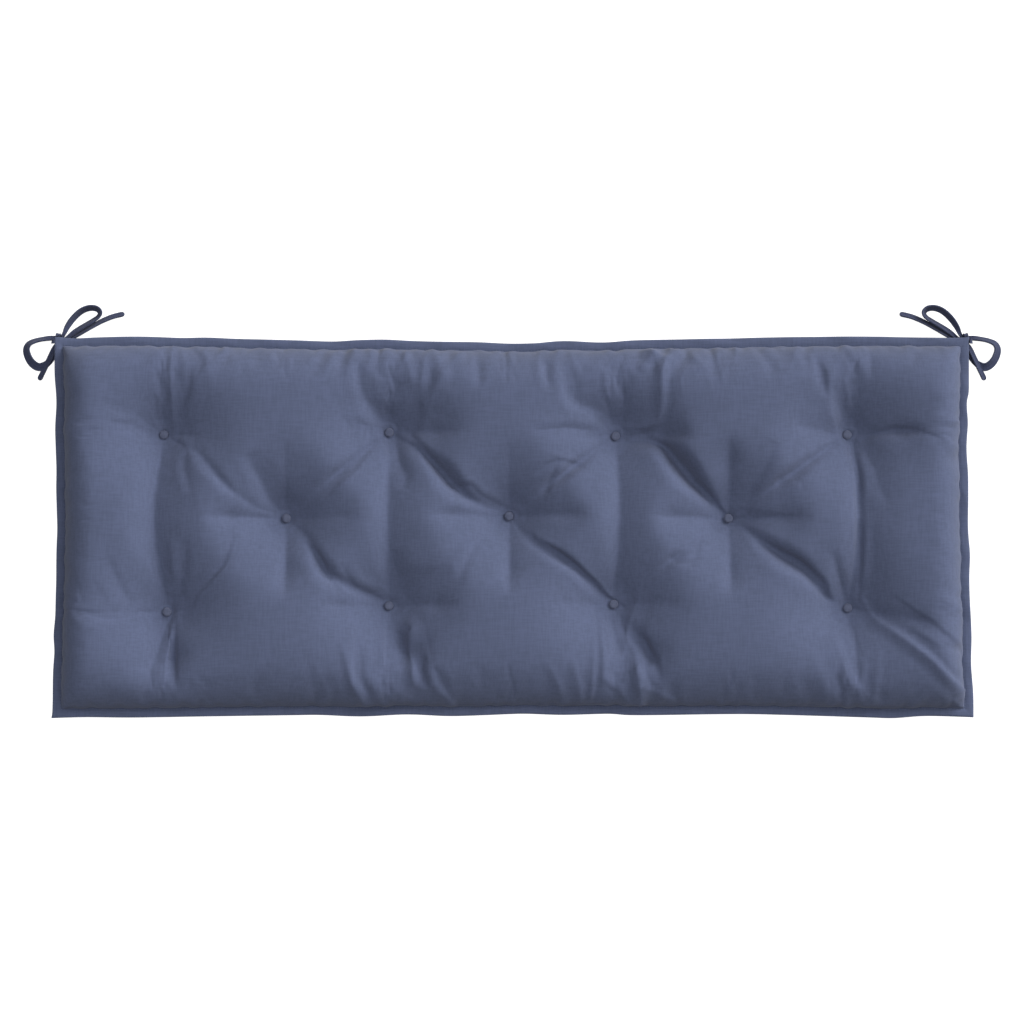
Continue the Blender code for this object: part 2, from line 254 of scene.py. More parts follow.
@dataclass(frozen=True)
class WovenCloth:
    """Plain-woven, piece-dyed polyester: matt, with uneven threads that show as short pale and dark dashes.

    Attributes:
        name: the material's name.
        shade: the cloth's colour.
        pale_thread: the colour of the thicker threads, which catch more light.
        thread: the spacing of the threads, in millimetres.
        relief: how high the threads stand, in millimetres.
        dashes_across: how many dashes lie side by side in a metre.
        dashes_along: how many lie end to end in a metre.
        patches: how many paler and darker patches a metre has.
        follows: what the weave follows.
    """

    name: str
    shade: str
    pale_thread: str
    thread: float = 1.5
    relief: float = 0.12
    dashes_across: float = 560.0
    dashes_along: float = 46.0
    patches: float = 9.0
    follows: Follows = Follows.PLACE

    def _dashes(
        self, tree: bpy.types.NodeTree, place: bpy.types.NodeSocket, across: float, along: float
    ) -> bpy.types.NodeSocket:
        """Noise drawn out along one set of threads.

        Args:
            tree: the material's tree.
            place: where on the cloth it is read, in metres.
            across: dashes to the metre along X.
            along: dashes to the metre along Y.

        Returns:
            The noise, around 0.5.
        """
        spread = add_node(tree, "ShaderNodeMapping", {"Vector": place, "Scale": (across, along, 300.0)})
        return add_node(
            tree, "ShaderNodeTexNoise", {"Vector": spread.outputs["Vector"], "Scale": 1.0, "Detail": 2.0}
        ).outputs["Fac"]

    def _threads(self, tree: bpy.types.NodeTree, place: bpy.types.NodeSocket, direction: str) -> bpy.types.NodeSocket:
        """The round backs of one set of threads, 0 to 1; real ones lie about 3 times as close, too fine to show."""
        return add_node(
            tree,
            "ShaderNodeTexWave",
            {"Vector": place, "Scale": math.pi / 10 / (self.thread * MM), "Distortion": 0.6, "Detail": 1.0},
            bands_direction=direction,
        ).outputs["Fac"]

    def material(self) -> bpy.types.Material:
        """Build the material."""
        made = bpy.data.materials.new(self.name)
        made.use_nodes = True
        tree = made.node_tree
        shader = tree.nodes["Principled BSDF"]
        place = add_node(tree, "ShaderNodeTexCoord").outputs[self.follows.value]

        warp_dashes = self._dashes(tree, place, self.dashes_across, self.dashes_along)
        weft_dashes = self._dashes(tree, place, self.dashes_along, self.dashes_across)
        both_dashes = add_node(
            tree, "ShaderNodeMath", {0: warp_dashes, 1: weft_dashes}, operation="ADD"
        ).outputs[0]
        patches = add_node(
            tree, "ShaderNodeTexNoise", {"Vector": place, "Scale": self.patches, "Detail": 3.0}
        ).outputs["Fac"]
        streaks = add_node(
            tree,
            "ShaderNodeMapRange",
            {"Value": both_dashes, "From Min": 0.72, "From Max": 1.28, "To Min": 0.0, "To Max": 1.0},
        ).outputs["Result"]
        mixed = add_node(
            tree, "ShaderNodeMath", {0: patches, 1: 0.25, 2: streaks}, operation="MULTIPLY_ADD"
        ).outputs[0]
        colours = add_node(tree, "ShaderNodeValToRGB", {"Fac": mixed})
        colours.color_ramp.elements[0].position = 0.15
        colours.color_ramp.elements[0].color = linear(self.shade)
        colours.color_ramp.elements[1].position = 1.1
        colours.color_ramp.elements[1].color = linear(self.pale_thread)
        tree.links.new(colours.outputs["Color"], shader.inputs["Base Color"])

        warp = self._threads(tree, place, "X")
        weft = self._threads(tree, place, "Y")
        weave = add_node(tree, "ShaderNodeMath", {0: warp, 1: weft}, operation="ADD").outputs[0]
        height = add_node(
            tree, "ShaderNodeMath", {0: both_dashes, 1: 0.9, 2: weave}, operation="MULTIPLY_ADD"
        ).outputs[0]
        bump = add_node(tree, "ShaderNodeBump", {"Height": height, "Strength": 0.14, "Distance": self.relief * MM})
        tree.links.new(bump.outputs["Normal"], shader.inputs["Normal"])

        shader.inputs["Roughness"].default_value = 0.92
        shader.inputs["Specular IOR Level"].default_value = 0.22
        shader.inputs["Sheen Weight"].default_value = 0.12
        shader.inputs["Sheen Roughness"].default_value = 0.55
        return made


@dataclass(frozen=True)
class SewingThread:
    """Spun polyester thread, dyed to match the cloth: two twisted plies with a faint shine."""

    name: str = "spun_polyester_thread"
    shade: str = "454d65"
    pale_ply: str = "566079"

    def material(self) -> bpy.types.Material:
        """Build the material."""
        made = bpy.data.materials.new(self.name)
        made.use_nodes = True
        tree = made.node_tree
        shader = tree.nodes["Principled BSDF"]
        place = add_node(tree, "ShaderNodeTexCoord").outputs["Object"]
        plies = add_node(tree, "ShaderNodeTexNoise", {"Vector": place, "Scale": 1400.0, "Detail": 1.0})
        bump = add_node(tree, "ShaderNodeBump", {"Height": plies.outputs["Fac"], "Strength": 0.4, "Distance": 0.1 * MM})
        tree.links.new(bump.outputs["Normal"], shader.inputs["Normal"])
        colours = add_node(tree, "ShaderNodeValToRGB", {"Fac": plies.outputs["Fac"]})
        colours.color_ramp.elements[0].color = linear(self.shade)
        colours.color_ramp.elements[1].color = linear(self.pale_ply)
        tree.links.new(colours.outputs["Color"], shader.inputs["Base Color"])
        shader.inputs["Roughness"].default_value = 0.6
        return made


@dataclass(frozen=True)
class StudioTable:
    """White acrylic table, lit from below: to the eye this leaves only a breath of shadow on it.

    The light from below is only seen, and lights nothing, so that the cushion's sides stay as dark as shown.
    """

    name: str = "white_acrylic_table"
    shade: str = "a4a4a4"
    glow: float = 0.95

    def material(self) -> bpy.types.Material:
        """Build the material."""
        made = bpy.data.materials.new(self.name)
        made.use_nodes = True
        tree = made.node_tree
        shader = tree.nodes["Principled BSDF"]
        shader.inputs["Base Color"].default_value = linear(self.shade)
        shader.inputs["Roughness"].default_value = 0.7
        shader.inputs["Emission Color"].default_value = (1.0, 1.0, 1.0, 1.0)
        seen = add_node(tree, "ShaderNodeLightPath").outputs["Is Camera Ray"]
        glow = add_node(tree, "ShaderNodeMath", {0: seen, 1: self.glow}, operation="MULTIPLY")
        tree.links.new(glow.outputs[0], shader.inputs["Emission Strength"])
        return made


COVER_CLOTH = WovenCloth("piece_dyed_polyester_cover", "4b536b", "525a75")
# The buttons' cloth is the cover's, painted a little darker and greyer: painted shade for the hollows that the buttons
# sit in.
SHADED_BUTTON_CLOTH = WovenCloth("piece_dyed_polyester_button_painted_shade", "4b5167", "545a70", thread=1.1)
# The ties' tape is the cover's cloth painted much darker: painted shade for the shade that the bows lie in.
SHADED_TIE_TAPE = WovenCloth("folded_polyester_tape_painted_shade", "30354c", "3a4059", thread=1.1, follows=Follows.LENGTH)


# --------------------------------------------------------------------------------------------------------------
# The studio
# --------------------------------------------------------------------------------------------------------------


@dataclass
class Studio:
    """A pale table, one large lamp over the right-hand back corner, and white all round.

    Attributes:
        aim: what the camera looks at, in metres.
        elevation: how high the camera stands over the front edge, in degrees.
        distance: from the camera to what it looks at, in metres.
        width: how much it sees there from side to side, in metres.
        key_from: the direction that the lamp stands in.
        key_strength: the lamp's power.
        key_width: how wide the lamp looks from the cushion, in degrees.
        surround: how bright the white surroundings are.
        overhead_strength: the power of the large soft lamp straight overhead.
        overhead_width: how wide that lamp looks, in degrees.
    """

    aim: tuple[float, float, float] = (0.0, 0.0188, 0.022)
    elevation: float = 85.4
    distance: float = 4.3
    width: float = 1.337
    key_from: tuple[float, float, float] = (0.77, 0.52, 0.37)
    key_strength: float = 3.9
    key_width: float = 40.0
    surround: float = 0.06
    overhead_strength: float = 1.95
    overhead_width: float = 90.0

    def camera(self) -> None:
        """Set the camera up at the angle that the cushion is seen from."""
        turn = math.radians(self.elevation)
        lens = bpy.data.cameras.new("camera")
        lens.sensor_width = 36.0
        lens.lens = lens.sensor_width * self.distance / self.width
        lens.clip_end = 50.0
        camera = bpy.data.objects.new("camera", lens)
        camera.location = Vector(self.aim) + self.distance * Vector((0, -math.cos(turn), math.sin(turn)))
        camera.rotation_euler = (math.pi / 2 - turn, 0.0, 0.0)
        bpy.context.scene.collection.objects.link(camera)
        bpy.context.scene.camera = camera

    def lights(self) -> None:
        """Light the cushion from its right-hand back corner, softly, with plain white from everywhere else."""
        for name, comes_from, strength, width in (
            ("key", self.key_from, self.key_strength, self.key_width),
            ("overhead", (0.0, 0.0, 1.0), self.overhead_strength, self.overhead_width),
        ):
            sun = bpy.data.lights.new(name, "SUN")
            sun.energy = strength
            sun.angle = math.radians(width)
            lamp = bpy.data.objects.new(name, sun)
            lamp.rotation_euler = Vector(comes_from).to_track_quat("Z", "Y").to_euler()
            bpy.context.scene.collection.objects.link(lamp)
        world = bpy.data.worlds.new("white_room")
        world.use_nodes = True
        world.node_tree.nodes["Background"].inputs["Color"].default_value = (1.0, 1.0, 1.0, 1.0)
        world.node_tree.nodes["Background"].inputs["Strength"].default_value = self.surround
        bpy.context.scene.world = world
        bpy.context.scene.view_settings.view_transform = "Standard"

    def table(self) -> bpy.types.Object:
        """Lay the table that the cushion rests on."""
        deselect_all()
        bpy.ops.mesh.primitive_plane_add(size=24, location=(0, 0, -0.0004))
        table = bpy.context.object
        table.name = "table"
        set_material(table, StudioTable().material())
        return table

    def build(self) -> None:
        """Set the whole studio up."""
        self.camera()
        self.lights()
        self.table()


# --------------------------------------------------------------------------------------------------------------
# The cover
# --------------------------------------------------------------------------------------------------------------


@dataclass(frozen=True)
class Course:
    """One kind of channel that the tufting draws into the cover.

    Attributes:
        left_reach: how fast the cloth rises on its left, looking along it, in millimetres.
        right_reach: how fast it rises on its right.
        lateness: how late it comes up from its ends.
    """

    left_reach: float
    right_reach: float
    lateness: float


COLUMN = Course(78.8, 42.2, 1.81)
DIAGONAL = Course(17.4, 24.9, 3.0)
ALONG_ROW = Course(62.3, 46.2, 1.26)
SPOKE = Course(51.4, 45.6, 1.32)
TO_SIDE = Course(29.0, 32.2, 1.48)
TO_BACK = Course(23.9, 51.8, 1.9)
TO_FRONT = Course(52.3, 71.7, 0.91)

# The share of a tuft's depth that each channel keeps half-way along, in the order in which the cover lists them:
# the columns, the falling diagonals, those of each middle button, the back and front rows, the sides, the back and
# the front. These, the courses and the channels' lines come from the same numeric fit as the folds.
CHANNEL_SHARES: tuple[float, ...] = (
    0.68, 0.53, 0.55, 0.55,
    0.41, 0.71, 0.89, 0.6, 0.56, 0.68,
    0.56, 0.42, 0.43, 0.62, 0.46, 0.59,
    0.61, 0.38, 0.43, 0.59, 0.56, 0.56,
    0.6, 0.49, 0.62, 0.58, 0.66, 0.59,
    0.1, 0.68, 0.82, 0.05, 0.05, 0.05,
    0.08, 0.65, 0.54, 0.58, 0.5, 0.23,
    0.48, 0.69, 0.46, 0.54,
    0.31, 0.45, 0.45, 0.48,
    0.83, 0.82, 0.71, 0.34,
)  # fmt: skip


# Where the buttons sit, row by row from the back, each row from left to right.
BUTTONS: tuple[tuple[Point, ...], ...] = (
    ((-457, 121), (-161, 126), (136, 121), (440, 121)),
    ((-296, 10), (-4, 13), (284, 10)),
    ((-451, -113), (-161, -106), (133, -104), (439, -108)),
)



def from_buttons(x: Array, y: Array) -> Array:
    """How far places of the cover are from the middle of the nearest button."""
    return np.min([np.hypot(x - bx, y - by) for row in BUTTONS for bx, by in row], axis=0)


# The lines of the channels, from button to button and from the outer buttons towards the seams.
COLUMN_LINES: tuple[tuple[Point, ...], ...] = (
    ((-457, 121), (-469, 4), (-451, -113)),
    ((-161, 126), (-162, 10), (-161, -106)),
    ((136, 121), (140, 8), (133, -104)),
    ((440, 121), (451, 60), (455, 0), (439, -108)),
)
FALLING_LINES: tuple[tuple[Point, ...], ...] = (
    ((-457, 121), (-427, 103), (-409, 95), (-382, 62), (-350, 33), (-296, 10)),
    ((-161, 126), (-122, 101), (-102, 83), (-87, 68), (-58, 38), (-4, 13)),
    ((136, 121), (148, 112), (188, 113), (220, 81), (249, 46), (284, 10)),
    ((-296, 10), (-271, -12), (-248, -51), (-230, -71), (-185, -94), (-161, -106)),
    ((-4, 13), (26, -23), (61, -43), (92, -66), (121, -96), (133, -104)),
    ((284, 10), (300, -1), (347, -36), (387, -63), (411, -94), (439, -108)),
)
SIDE_LINES: tuple[tuple[Point, ...], ...] = (
    ((-457, 121), (-494, 144), (-560, 165)),
    ((440, 121), (560, 123)),
    ((-451, -113), (-577, -115)),
    ((439, -108), (500, -118), (578, -137)),
)
REAR_LINES: tuple[tuple[Point, ...], ...] = (
    ((-457, 121), (-468, 154), (-441, 180), (-440, 241)),
    ((-161, 126), (-176, 153), (-196, 169), (-200, 205), (-201, 241)),
    ((136, 121), (105, 152), (84, 160), (71, 183), (66, 242)),
    ((440, 121), (429, 153), (407, 179), (398, 215), (392, 242)),
)
FRONT_LINES: tuple[tuple[Point, ...], ...] = (
    ((-451, -113), (-448, -150), (-425, -238)),
    ((-161, -106), (-153, -140), (-133, -172), (-98, -233)),
    ((133, -104), (154, -149), (186, -182), (205, -243)),
    ((439, -108), (509, -130), (552, -178), (592, -240)),
)

# How far each side of the cover lies inside its full width where its stitching and filling pull on it: where
# along the side, and how far in.
BACK_SIDE: tuple[Point, ...] = (
    (-600, 0), (-573, 2.4), (-543, 1.0), (-483, 0.0), (-433, 1.8), (-403, 1.3), (-363, 2.9), (-290, 4.8),
    (-256, 5.9), (-230, 6.4), (-204, 4.8), (-168, 4.0), (-136, 5.5), (-97, 6.8), (-46, 7.3), (-3, 9.3),
    (31, 8.9), (55, 6.4), (76, 5.9), (111, 7.7), (131, 7.3), (161, 4.8), (211, 3.9), (285, 2.5), (349, 0.9),
    (461, 0.0), (573, 1.7), (600, 0),
)  # fmt: skip
FRONT_SIDE: tuple[Point, ...] = (
    (-600, 0), (-554, 1.3), (-493, 0.8), (-403, 2.2), (-290, 3.8), (-250, 4.2), (-196, 2.2), (-136, 4.8),
    (-82, 2.7), (-29, 4.2), (-3, 5.3), (21, 5.7), (67, 4.2), (125, 5.7), (163, 3.8), (285, 5.3), (349, 4.4),
    (461, 1.0), (496, 0.0), (539, 2.9), (600, 1.0),
)  # fmt: skip
LEFT_SIDE: tuple[Point, ...] = (
    (-250, 1.0), (-238, 2.6), (-188, 2.7), (-163, 4.4), (-143, 2.6), (-117, 4.7), (-76, 5.4), (-37, 5.3),
    (-1, 6.0), (50, 4.2), (79, 4.0), (130, 1.9), (164, 3.4), (199, 0.3), (229, 0.0), (250, 0.0),
)  # fmt: skip
RIGHT_SIDE: tuple[Point, ...] = (
    (-250, 0.0), (-214, 0.1), (-180, 2.5), (-143, 1.2), (-102, 2.9), (-67, 3.4), (-35, 2.2), (1, 4.4),
    (62, 3.3), (102, 5.2), (135, 3.0), (163, 4.6), (176, 1.3), (229, 0.8), (250, 0.0),
)  # fmt: skip


@dataclass(frozen=True)
class Fold:
    """One fold of the cloth, along a line on the cover.

    Attributes:
        dip: how far the cloth dips along it, in millimetres; a fold that stands up has a dip below 0.
        left_width: how wide its left side is, looking along the line, in millimetres.
        right_width: how wide its right side is.
        line: the points that it runs through, in millimetres.
        gathered: whether it starts on the seam, at its deepest.
    """

    dip: float
    left_width: float
    right_width: float
    line: tuple[Point, ...]
    gathered: bool = False


# The main folds: they fan out from the buttons, and run in from the seams. Their lines were placed on the
# reference, then moved and sized by a numeric fit to it.
FOLDS: tuple[Fold, ...] = (
    Fold(-1.12, 3.78, 3.19, ((-443, 220), (-444, 185), (-442, 160), (-440, 111))),
    Fold(1.25, 10.1, 6.72, ((-428, 210), (-435, 196), (-427, 170), (-438, 137))),
    Fold(-0.5, 3.2, 3.7, ((-429, 219), (-425, 203), (-427, 167))),
    Fold(1.38, 2.69, 11.8, ((-416, 204), (-419, 179), (-425, 161), (-428, 135))),
    Fold(-1, 10.5, 2.18, ((-398, 217), (-396, 215), (-421, 156))),
    Fold(-0.5, 4.3, 5.2, ((-398, 217), (-386, 164))),
    Fold(-0.6, 5.7, 22, ((-373, 238), (-382, 216))),
    Fold(-1.25, 15.1, 18.5, ((-414, 147), (-417, 77), (-400, 10))),
    Fold(1.88, 8.9, 5.04, ((-422, 99), (-425, 75), (-415, 39))),
    Fold(-1.62, 5.88, 18.5, ((-446, 148), (-416, 89), (-406, 71), (-389, 54), (-373, 38), (-351, 32))),
    Fold(3.75, 15.1, 7.56, ((-341, 92), (-336, 76), (-324, 54), (-313, 31), (-286, 1))),
    Fold(2.12, 11.9, 6.13, (
        (-194, 208), (-199, 205), (-199, 187), (-193, 170), (-183, 150), (-170, 138), (-144, 104),
    )),
    Fold(-0.5, 3, 3.8, ((-179, 202), (-175, 177), (-179, 154))),
    Fold(-1.5, 4.45, 7.39, ((-165, 214), (-158, 181), (-165, 164), (-160, 171))),
    Fold(-0.4, 5.1, 5, ((-141, 178), (-138, 163), (-141, 136))),
    Fold(-0.6, 3.8, 5, ((-139, 218), (-125, 174))),
    Fold(-1.12, 4.45, 3.19, ((-113, 219), (-117, 197), (-119, 168))),
    Fold(1.88, 4.79, 18.5, ((-108, 210), (-105, 187), (-111, 173), (-123, 161), (-121, 143), (-136, 106))),
    Fold(0.7, 6.7, 5, ((-104, 203), (-104, 199), (-111, 175))),
    Fold(0.7, 4.7, 22, ((-215, 241), (-217, 223))),
    Fold(0.6, 7.6, 4.9, ((-222, 218), (-225, 180))),
    Fold(0.6, 5.7, 6.6, ((-249, 216), (-270, 175))),
    Fold(-0.7, 4, 7, ((-137, 217), (-127, 178))),
    Fold(0.7, 7.6, 6.6, ((-73, 206), (-80, 171))),
    Fold(1.12, 4.79, 5.63, ((-42, 211), (-44, 174))),
    Fold(0.7, 3.5, 5, ((-59, 219), (-56, 191))),
    Fold(0.5, 3.8, 8.8, ((-9, 219), (-4, 185))),
    Fold(-3.12, 8.9, 18.5, ((-214, 134), (-194, 141), (-158, 79))),
    Fold(1.38, 15.1, 10.4, ((-153, 115), (-95, 144), (-51, 111))),
    Fold(2.12, 3.78, 4.28, (
        (-150, 137), (-119, 103), (-103, 82), (-90, 65), (-75, 50), (-54, 49), (-36, 35), (20, 10),
    )),
    Fold(3, 7.39, 8.9, ((-155, 135), (-148, 84), (-139, 64), (-144, 45))),
    Fold(-1.88, 11.3, 11.8, ((-116, 104), (-118, 82), (-102, 56))),
    Fold(1.75, 3.61, 7.9, (
        (-178, 110), (-195, 87), (-207, 71), (-218, 62), (-227, 54), (-235, 44), (-244, 34),
    )),
    Fold(1.5, 6.38, 4.37, ((45, 214), (45, 205), (45, 174))),
    Fold(1.62, 11.3, 4.96, ((45, 214), (42, 200), (52, 174))),
    Fold(3, 15.1, 8.82, ((69, 206), (70, 205), (82, 185), (84, 160), (106, 150), (124, 142), (155, 102))),
    Fold(0.2, 17.9, 3.8, ((75, 209), (77, 193), (92, 154))),
    Fold(-1.5, 13.3, 3.78, ((121, 201), (121, 180), (129, 160))),
    Fold(0.5, 7.6, 22, ((151, 197), (146, 171), (173, 140))),
    Fold(0.7, 8.8, 5, ((125, 210), (147, 164))),
    Fold(-3.5, 4.28, 7.14, (
        (198, 216), (200, 215), (196, 197), (195, 179), (195, 160), (190, 137), (169, 128), (138, 131),
    )),
    Fold(-1.75, 4.45, 5.63, (
        (186, 223), (201, 238), (214, 227), (232, 254), (236, 221), (248, 205), (227, 199), (218, 186),
        (225, 163),
    )),
    Fold(1.12, 2.18, 10, ((263, 216), (271, 178))),
    Fold(2.5, 4.79, 11.2, ((28, 120), (70, 125), (95, 123), (114, 123))),
    Fold(1.25, 3.78, 10.9, ((163, 125), (171, 121), (187, 107), (206, 98), (200, 93))),
    Fold(2.12, 2.18, 8.82, ((202, 83), (217, 75), (230, 60), (250, 47), (266, 28), (299, -11))),
    Fold(1.12, 11.2, 10.5, ((73, 90), (89, 84), (74, 74))),
    Fold(1.62, 2.18, 5.96, ((29, 66), (57, 82), (96, 75))),
    Fold(2.25, 3.61, 13.2, ((61, 86), (51, 60), (44, 46), (48, 38))),
    Fold(-3.5, 7.56, 18.5, ((401, 210), (413, 194), (411, 171), (414, 145), (437, 76))),
    Fold(1, 2.52, 15.8, ((392, 214), (404, 200), (406, 179), (411, 152))),
    Fold(1.5, 8.48, 8.9, ((413, 186), (431, 154), (461, 110))),
    Fold(2, 8.9, 9.41, ((364, 128), (407, 123), (421, 116))),
    Fold(-1, 5.63, 4.2, ((447, 216), (462, 193))),
    Fold(1, 3.61, 4.2, ((261, 217), (263, 172))),
    Fold(0.6, 2.6, 6.5, ((384, 215), (385, 186))),
    Fold(1.12, 2.18, 5.71, ((436, 105), (499, 126), (564, 107))),
    Fold(-1.12, 15.1, 4.2, ((536, 144), (569, 133), (572, 142))),
    Fold(2.88, 4.2, 4.28, ((441, 130), (447, 86), (450, 64), (449, 30), (450, -54))),
    Fold(2.25, 15.1, 7.81, ((435, 135), (468, 76), (473, 55), (488, 21))),
    Fold(2.75, 6.38, 18.5, ((344, 105), (326, 71), (313, 52), (304, 24))),
    Fold(1.88, 13.1, 18.5, ((362, 67), (376, 42), (340, 49))),
    Fold(0.6, 9.4, 5.3, ((398, 84), (356, 85))),
    Fold(-2.25, 8.9, 11.2, ((278, 29), (335, 19), (385, 10))),
    Fold(-1.12, 5.04, 5.04, ((-441, -16), (-439, -54), (-433, -76))),
    Fold(1.75, 4.79, 6.64, ((-421, -20), (-424, -59), (-429, -74), (-430, -96))),
    Fold(2.25, 2.18, 15.8, ((-358, -12), (-370, -47), (-382, -63), (-394, -77), (-405, -87), (-417, -108))),
    Fold(1.25, 4.79, 7.56, ((-522, -43), (-514, -63), (-493, -106))),
    Fold(0.6, 3.8, 6, ((-568, -113), (-518, -122), (-477, -117))),
    Fold(1.62, 15.1, 18.5, ((-560, -101), (-559, -102), (-528, -85))),
    Fold(-0.7, 4.3, 7, ((-572, -107), (-560, -126), (-513, -143))),
    Fold(0.6, 18, 6.6, ((-566, -91), (-565, -93))),
    Fold(4.12, 4.79, 13.9, ((-438, -91), (-454, -147), (-458, -167), (-466, -186), (-464, -214))),
    Fold(-3.62, 5.04, 5.04, ((-440, -136), (-446, -158), (-449, -178), (-449, -208))),
    Fold(1.88, 2.94, 4.28, ((-437, -117), (-438, -154), (-437, -178), (-434, -209))),
    Fold(2.5, 2.18, 10.1, ((-277, -17), (-258, -31), (-245, -48), (-237, -68), (-216, -93))),
    Fold(2.88, 5.88, 10.1, ((-221, -51), (-206, -79), (-184, -90), (-141, -108))),
    Fold(1.62, 4.79, 6.64, ((-34, -14), (-56, -42), (-71, -82))),
    Fold(-1.38, 15.1, 11.8, ((-144, -51), (-87, -52), (-73, -51))),
    Fold(1.5, 15.1, 18.5, ((-88, -52), (-74, -97))),
    Fold(2.38, 11.3, 10, ((-157, -34), (-150, -63), (-141, -79))),
    Fold(-4.75, 8.9, 6.64, (
        (-131, -135), (-130, -131), (-131, -150), (-130, -170), (-128, -188), (-126, -211),
    )),
    Fold(-0.7, 8.9, 6.7, ((-115, -158), (-103, -177), (-95, -192))),
    Fold(2.75, 3.86, 5.54, ((-114, -168), (-117, -186), (-111, -211))),
    Fold(-1.38, 2.69, 18.5, ((-117, -139), (-99, -207), (-90, -217))),
    Fold(1.88, 5.96, 4.2, ((-100, -185), (-87, -210), (-80, -213))),
    Fold(-2, 4.45, 3.78, ((-220, -151), (-207, -204), (-201, -215))),
    Fold(-1.75, 3.61, 18.5, ((-207, -121), (-208, -191), (-198, -209), (-192, -218))),
    Fold(1.38, 3.95, 6.72, ((-196, -156), (-193, -205), (-183, -214))),
    Fold(-0.7, 3.8, 8, ((-252, -176), (-239, -218))),
    Fold(-0.6, 11.8, 5.9, ((-254, -179), (-242, -219))),
    Fold(-1.25, 13.3, 18.5, ((-219, -187), (-164, -220))),
    Fold(-1.12, 5.54, 3.78, ((-172, -122), (-162, -212))),
    Fold(-0.5, 5.2, 3.5, ((-146, -218), (-135, -228), (-111, -233))),
    Fold(0.6, 4.5, 6, ((-267, -165), (-253, -219))),
    Fold(-0.7, 8, 6, ((-63, -186), (-41, -215))),
    Fold(3.88, 2.18, 7.06, (
        (23, -7), (30, -19), (48, -29), (64, -39), (80, -51), (94, -64), (110, -78), (124, -93), (149, -108),
    )),
    Fold(1, 3.78, 10.2, ((246, -4), (232, -51), (194, -39))),
    Fold(-0.7, 5, 8.9, ((208, -35), (236, -33))),
    Fold(0.6, 8.8, 11.8, ((173, -48), (178, -118))),
    Fold(2.75, 3.61, 6.3, ((165, -142), (156, -133), (168, -146), (176, -161), (185, -176), (190, -204))),
    Fold(-4.12, 7.48, 5.88, ((167, -84), (149, -143), (158, -165), (162, -190), (165, -216))),
    Fold(2.88, 6.8, 3.7, ((159, -135), (175, -167), (172, -191), (182, -212))),
    Fold(-2, 7.9, 2.18, ((113, -109), (117, -174), (116, -213))),
    Fold(-1.75, 2.18, 4.2, ((107, -150), (104, -209), (103, -216))),
    Fold(-0.7, 3.7, 8.8, ((104, -112), (126, -213))),
    Fold(-1.25, 4.45, 5.04, ((42, -171), (56, -200), (63, -216))),
    Fold(-1.62, 4.28, 5.04, ((78, -174), (88, -217))),
    Fold(-1.88, 5.96, 3.78, ((111, -194), (140, -215), (143, -219))),
    Fold(-1.25, 2.52, 5.04, ((156, -205), (184, -216))),
    Fold(-0.5, 5, 6, ((220, -192), (221, -218))),
    Fold(0.7, 18, 6.7, ((201, -206), (214, -213))),
    Fold(2.88, 2.94, 12.6, (
        (311, -25), (321, -23), (347, -35), (371, -47), (388, -62), (404, -77), (408, -93), (425, -112),
    )),
    Fold(2.75, 5.8, 6.72, ((414, -34), (440, -120))),
    Fold(2, 2.94, 5.04, ((453, 4), (450, -67), (451, -105))),
    Fold(2, 15.1, 11.8, ((465, -2), (466, -77), (462, -92))),
    Fold(-4, 3.78, 6.89, (
        (443, -76), (470, -120), (490, -136), (517, -157), (540, -175), (563, -197), (571, -203),
    )),
    Fold(2, 2.69, 13.4, ((487, -90), (523, -117), (538, -127), (567, -150))),
    Fold(-1.5, 5.63, 2.94, ((503, -126), (550, -156), (555, -159))),
    Fold(1.38, 3.19, 3.78, ((428, -163), (421, -196), (424, -215))),
    Fold(-2.12, 5.04, 18.5, ((415, -137), (436, -204), (463, -212))),
    Fold(0.5, 6.7, 2.6, ((427, -173), (463, -220), (482, -226))),
    Fold(-1.62, 7.48, 11.8, ((379, -157), (409, -215), (411, -217))),
    Fold(-1.12, 4.37, 5.88, ((473, -154), (469, -217))),
)  # fmt: skip


class Side(Enum):
    """The sides of the cover."""

    BACK = "back"
    FRONT = "front"
    LEFT = "left"
    RIGHT = "right"


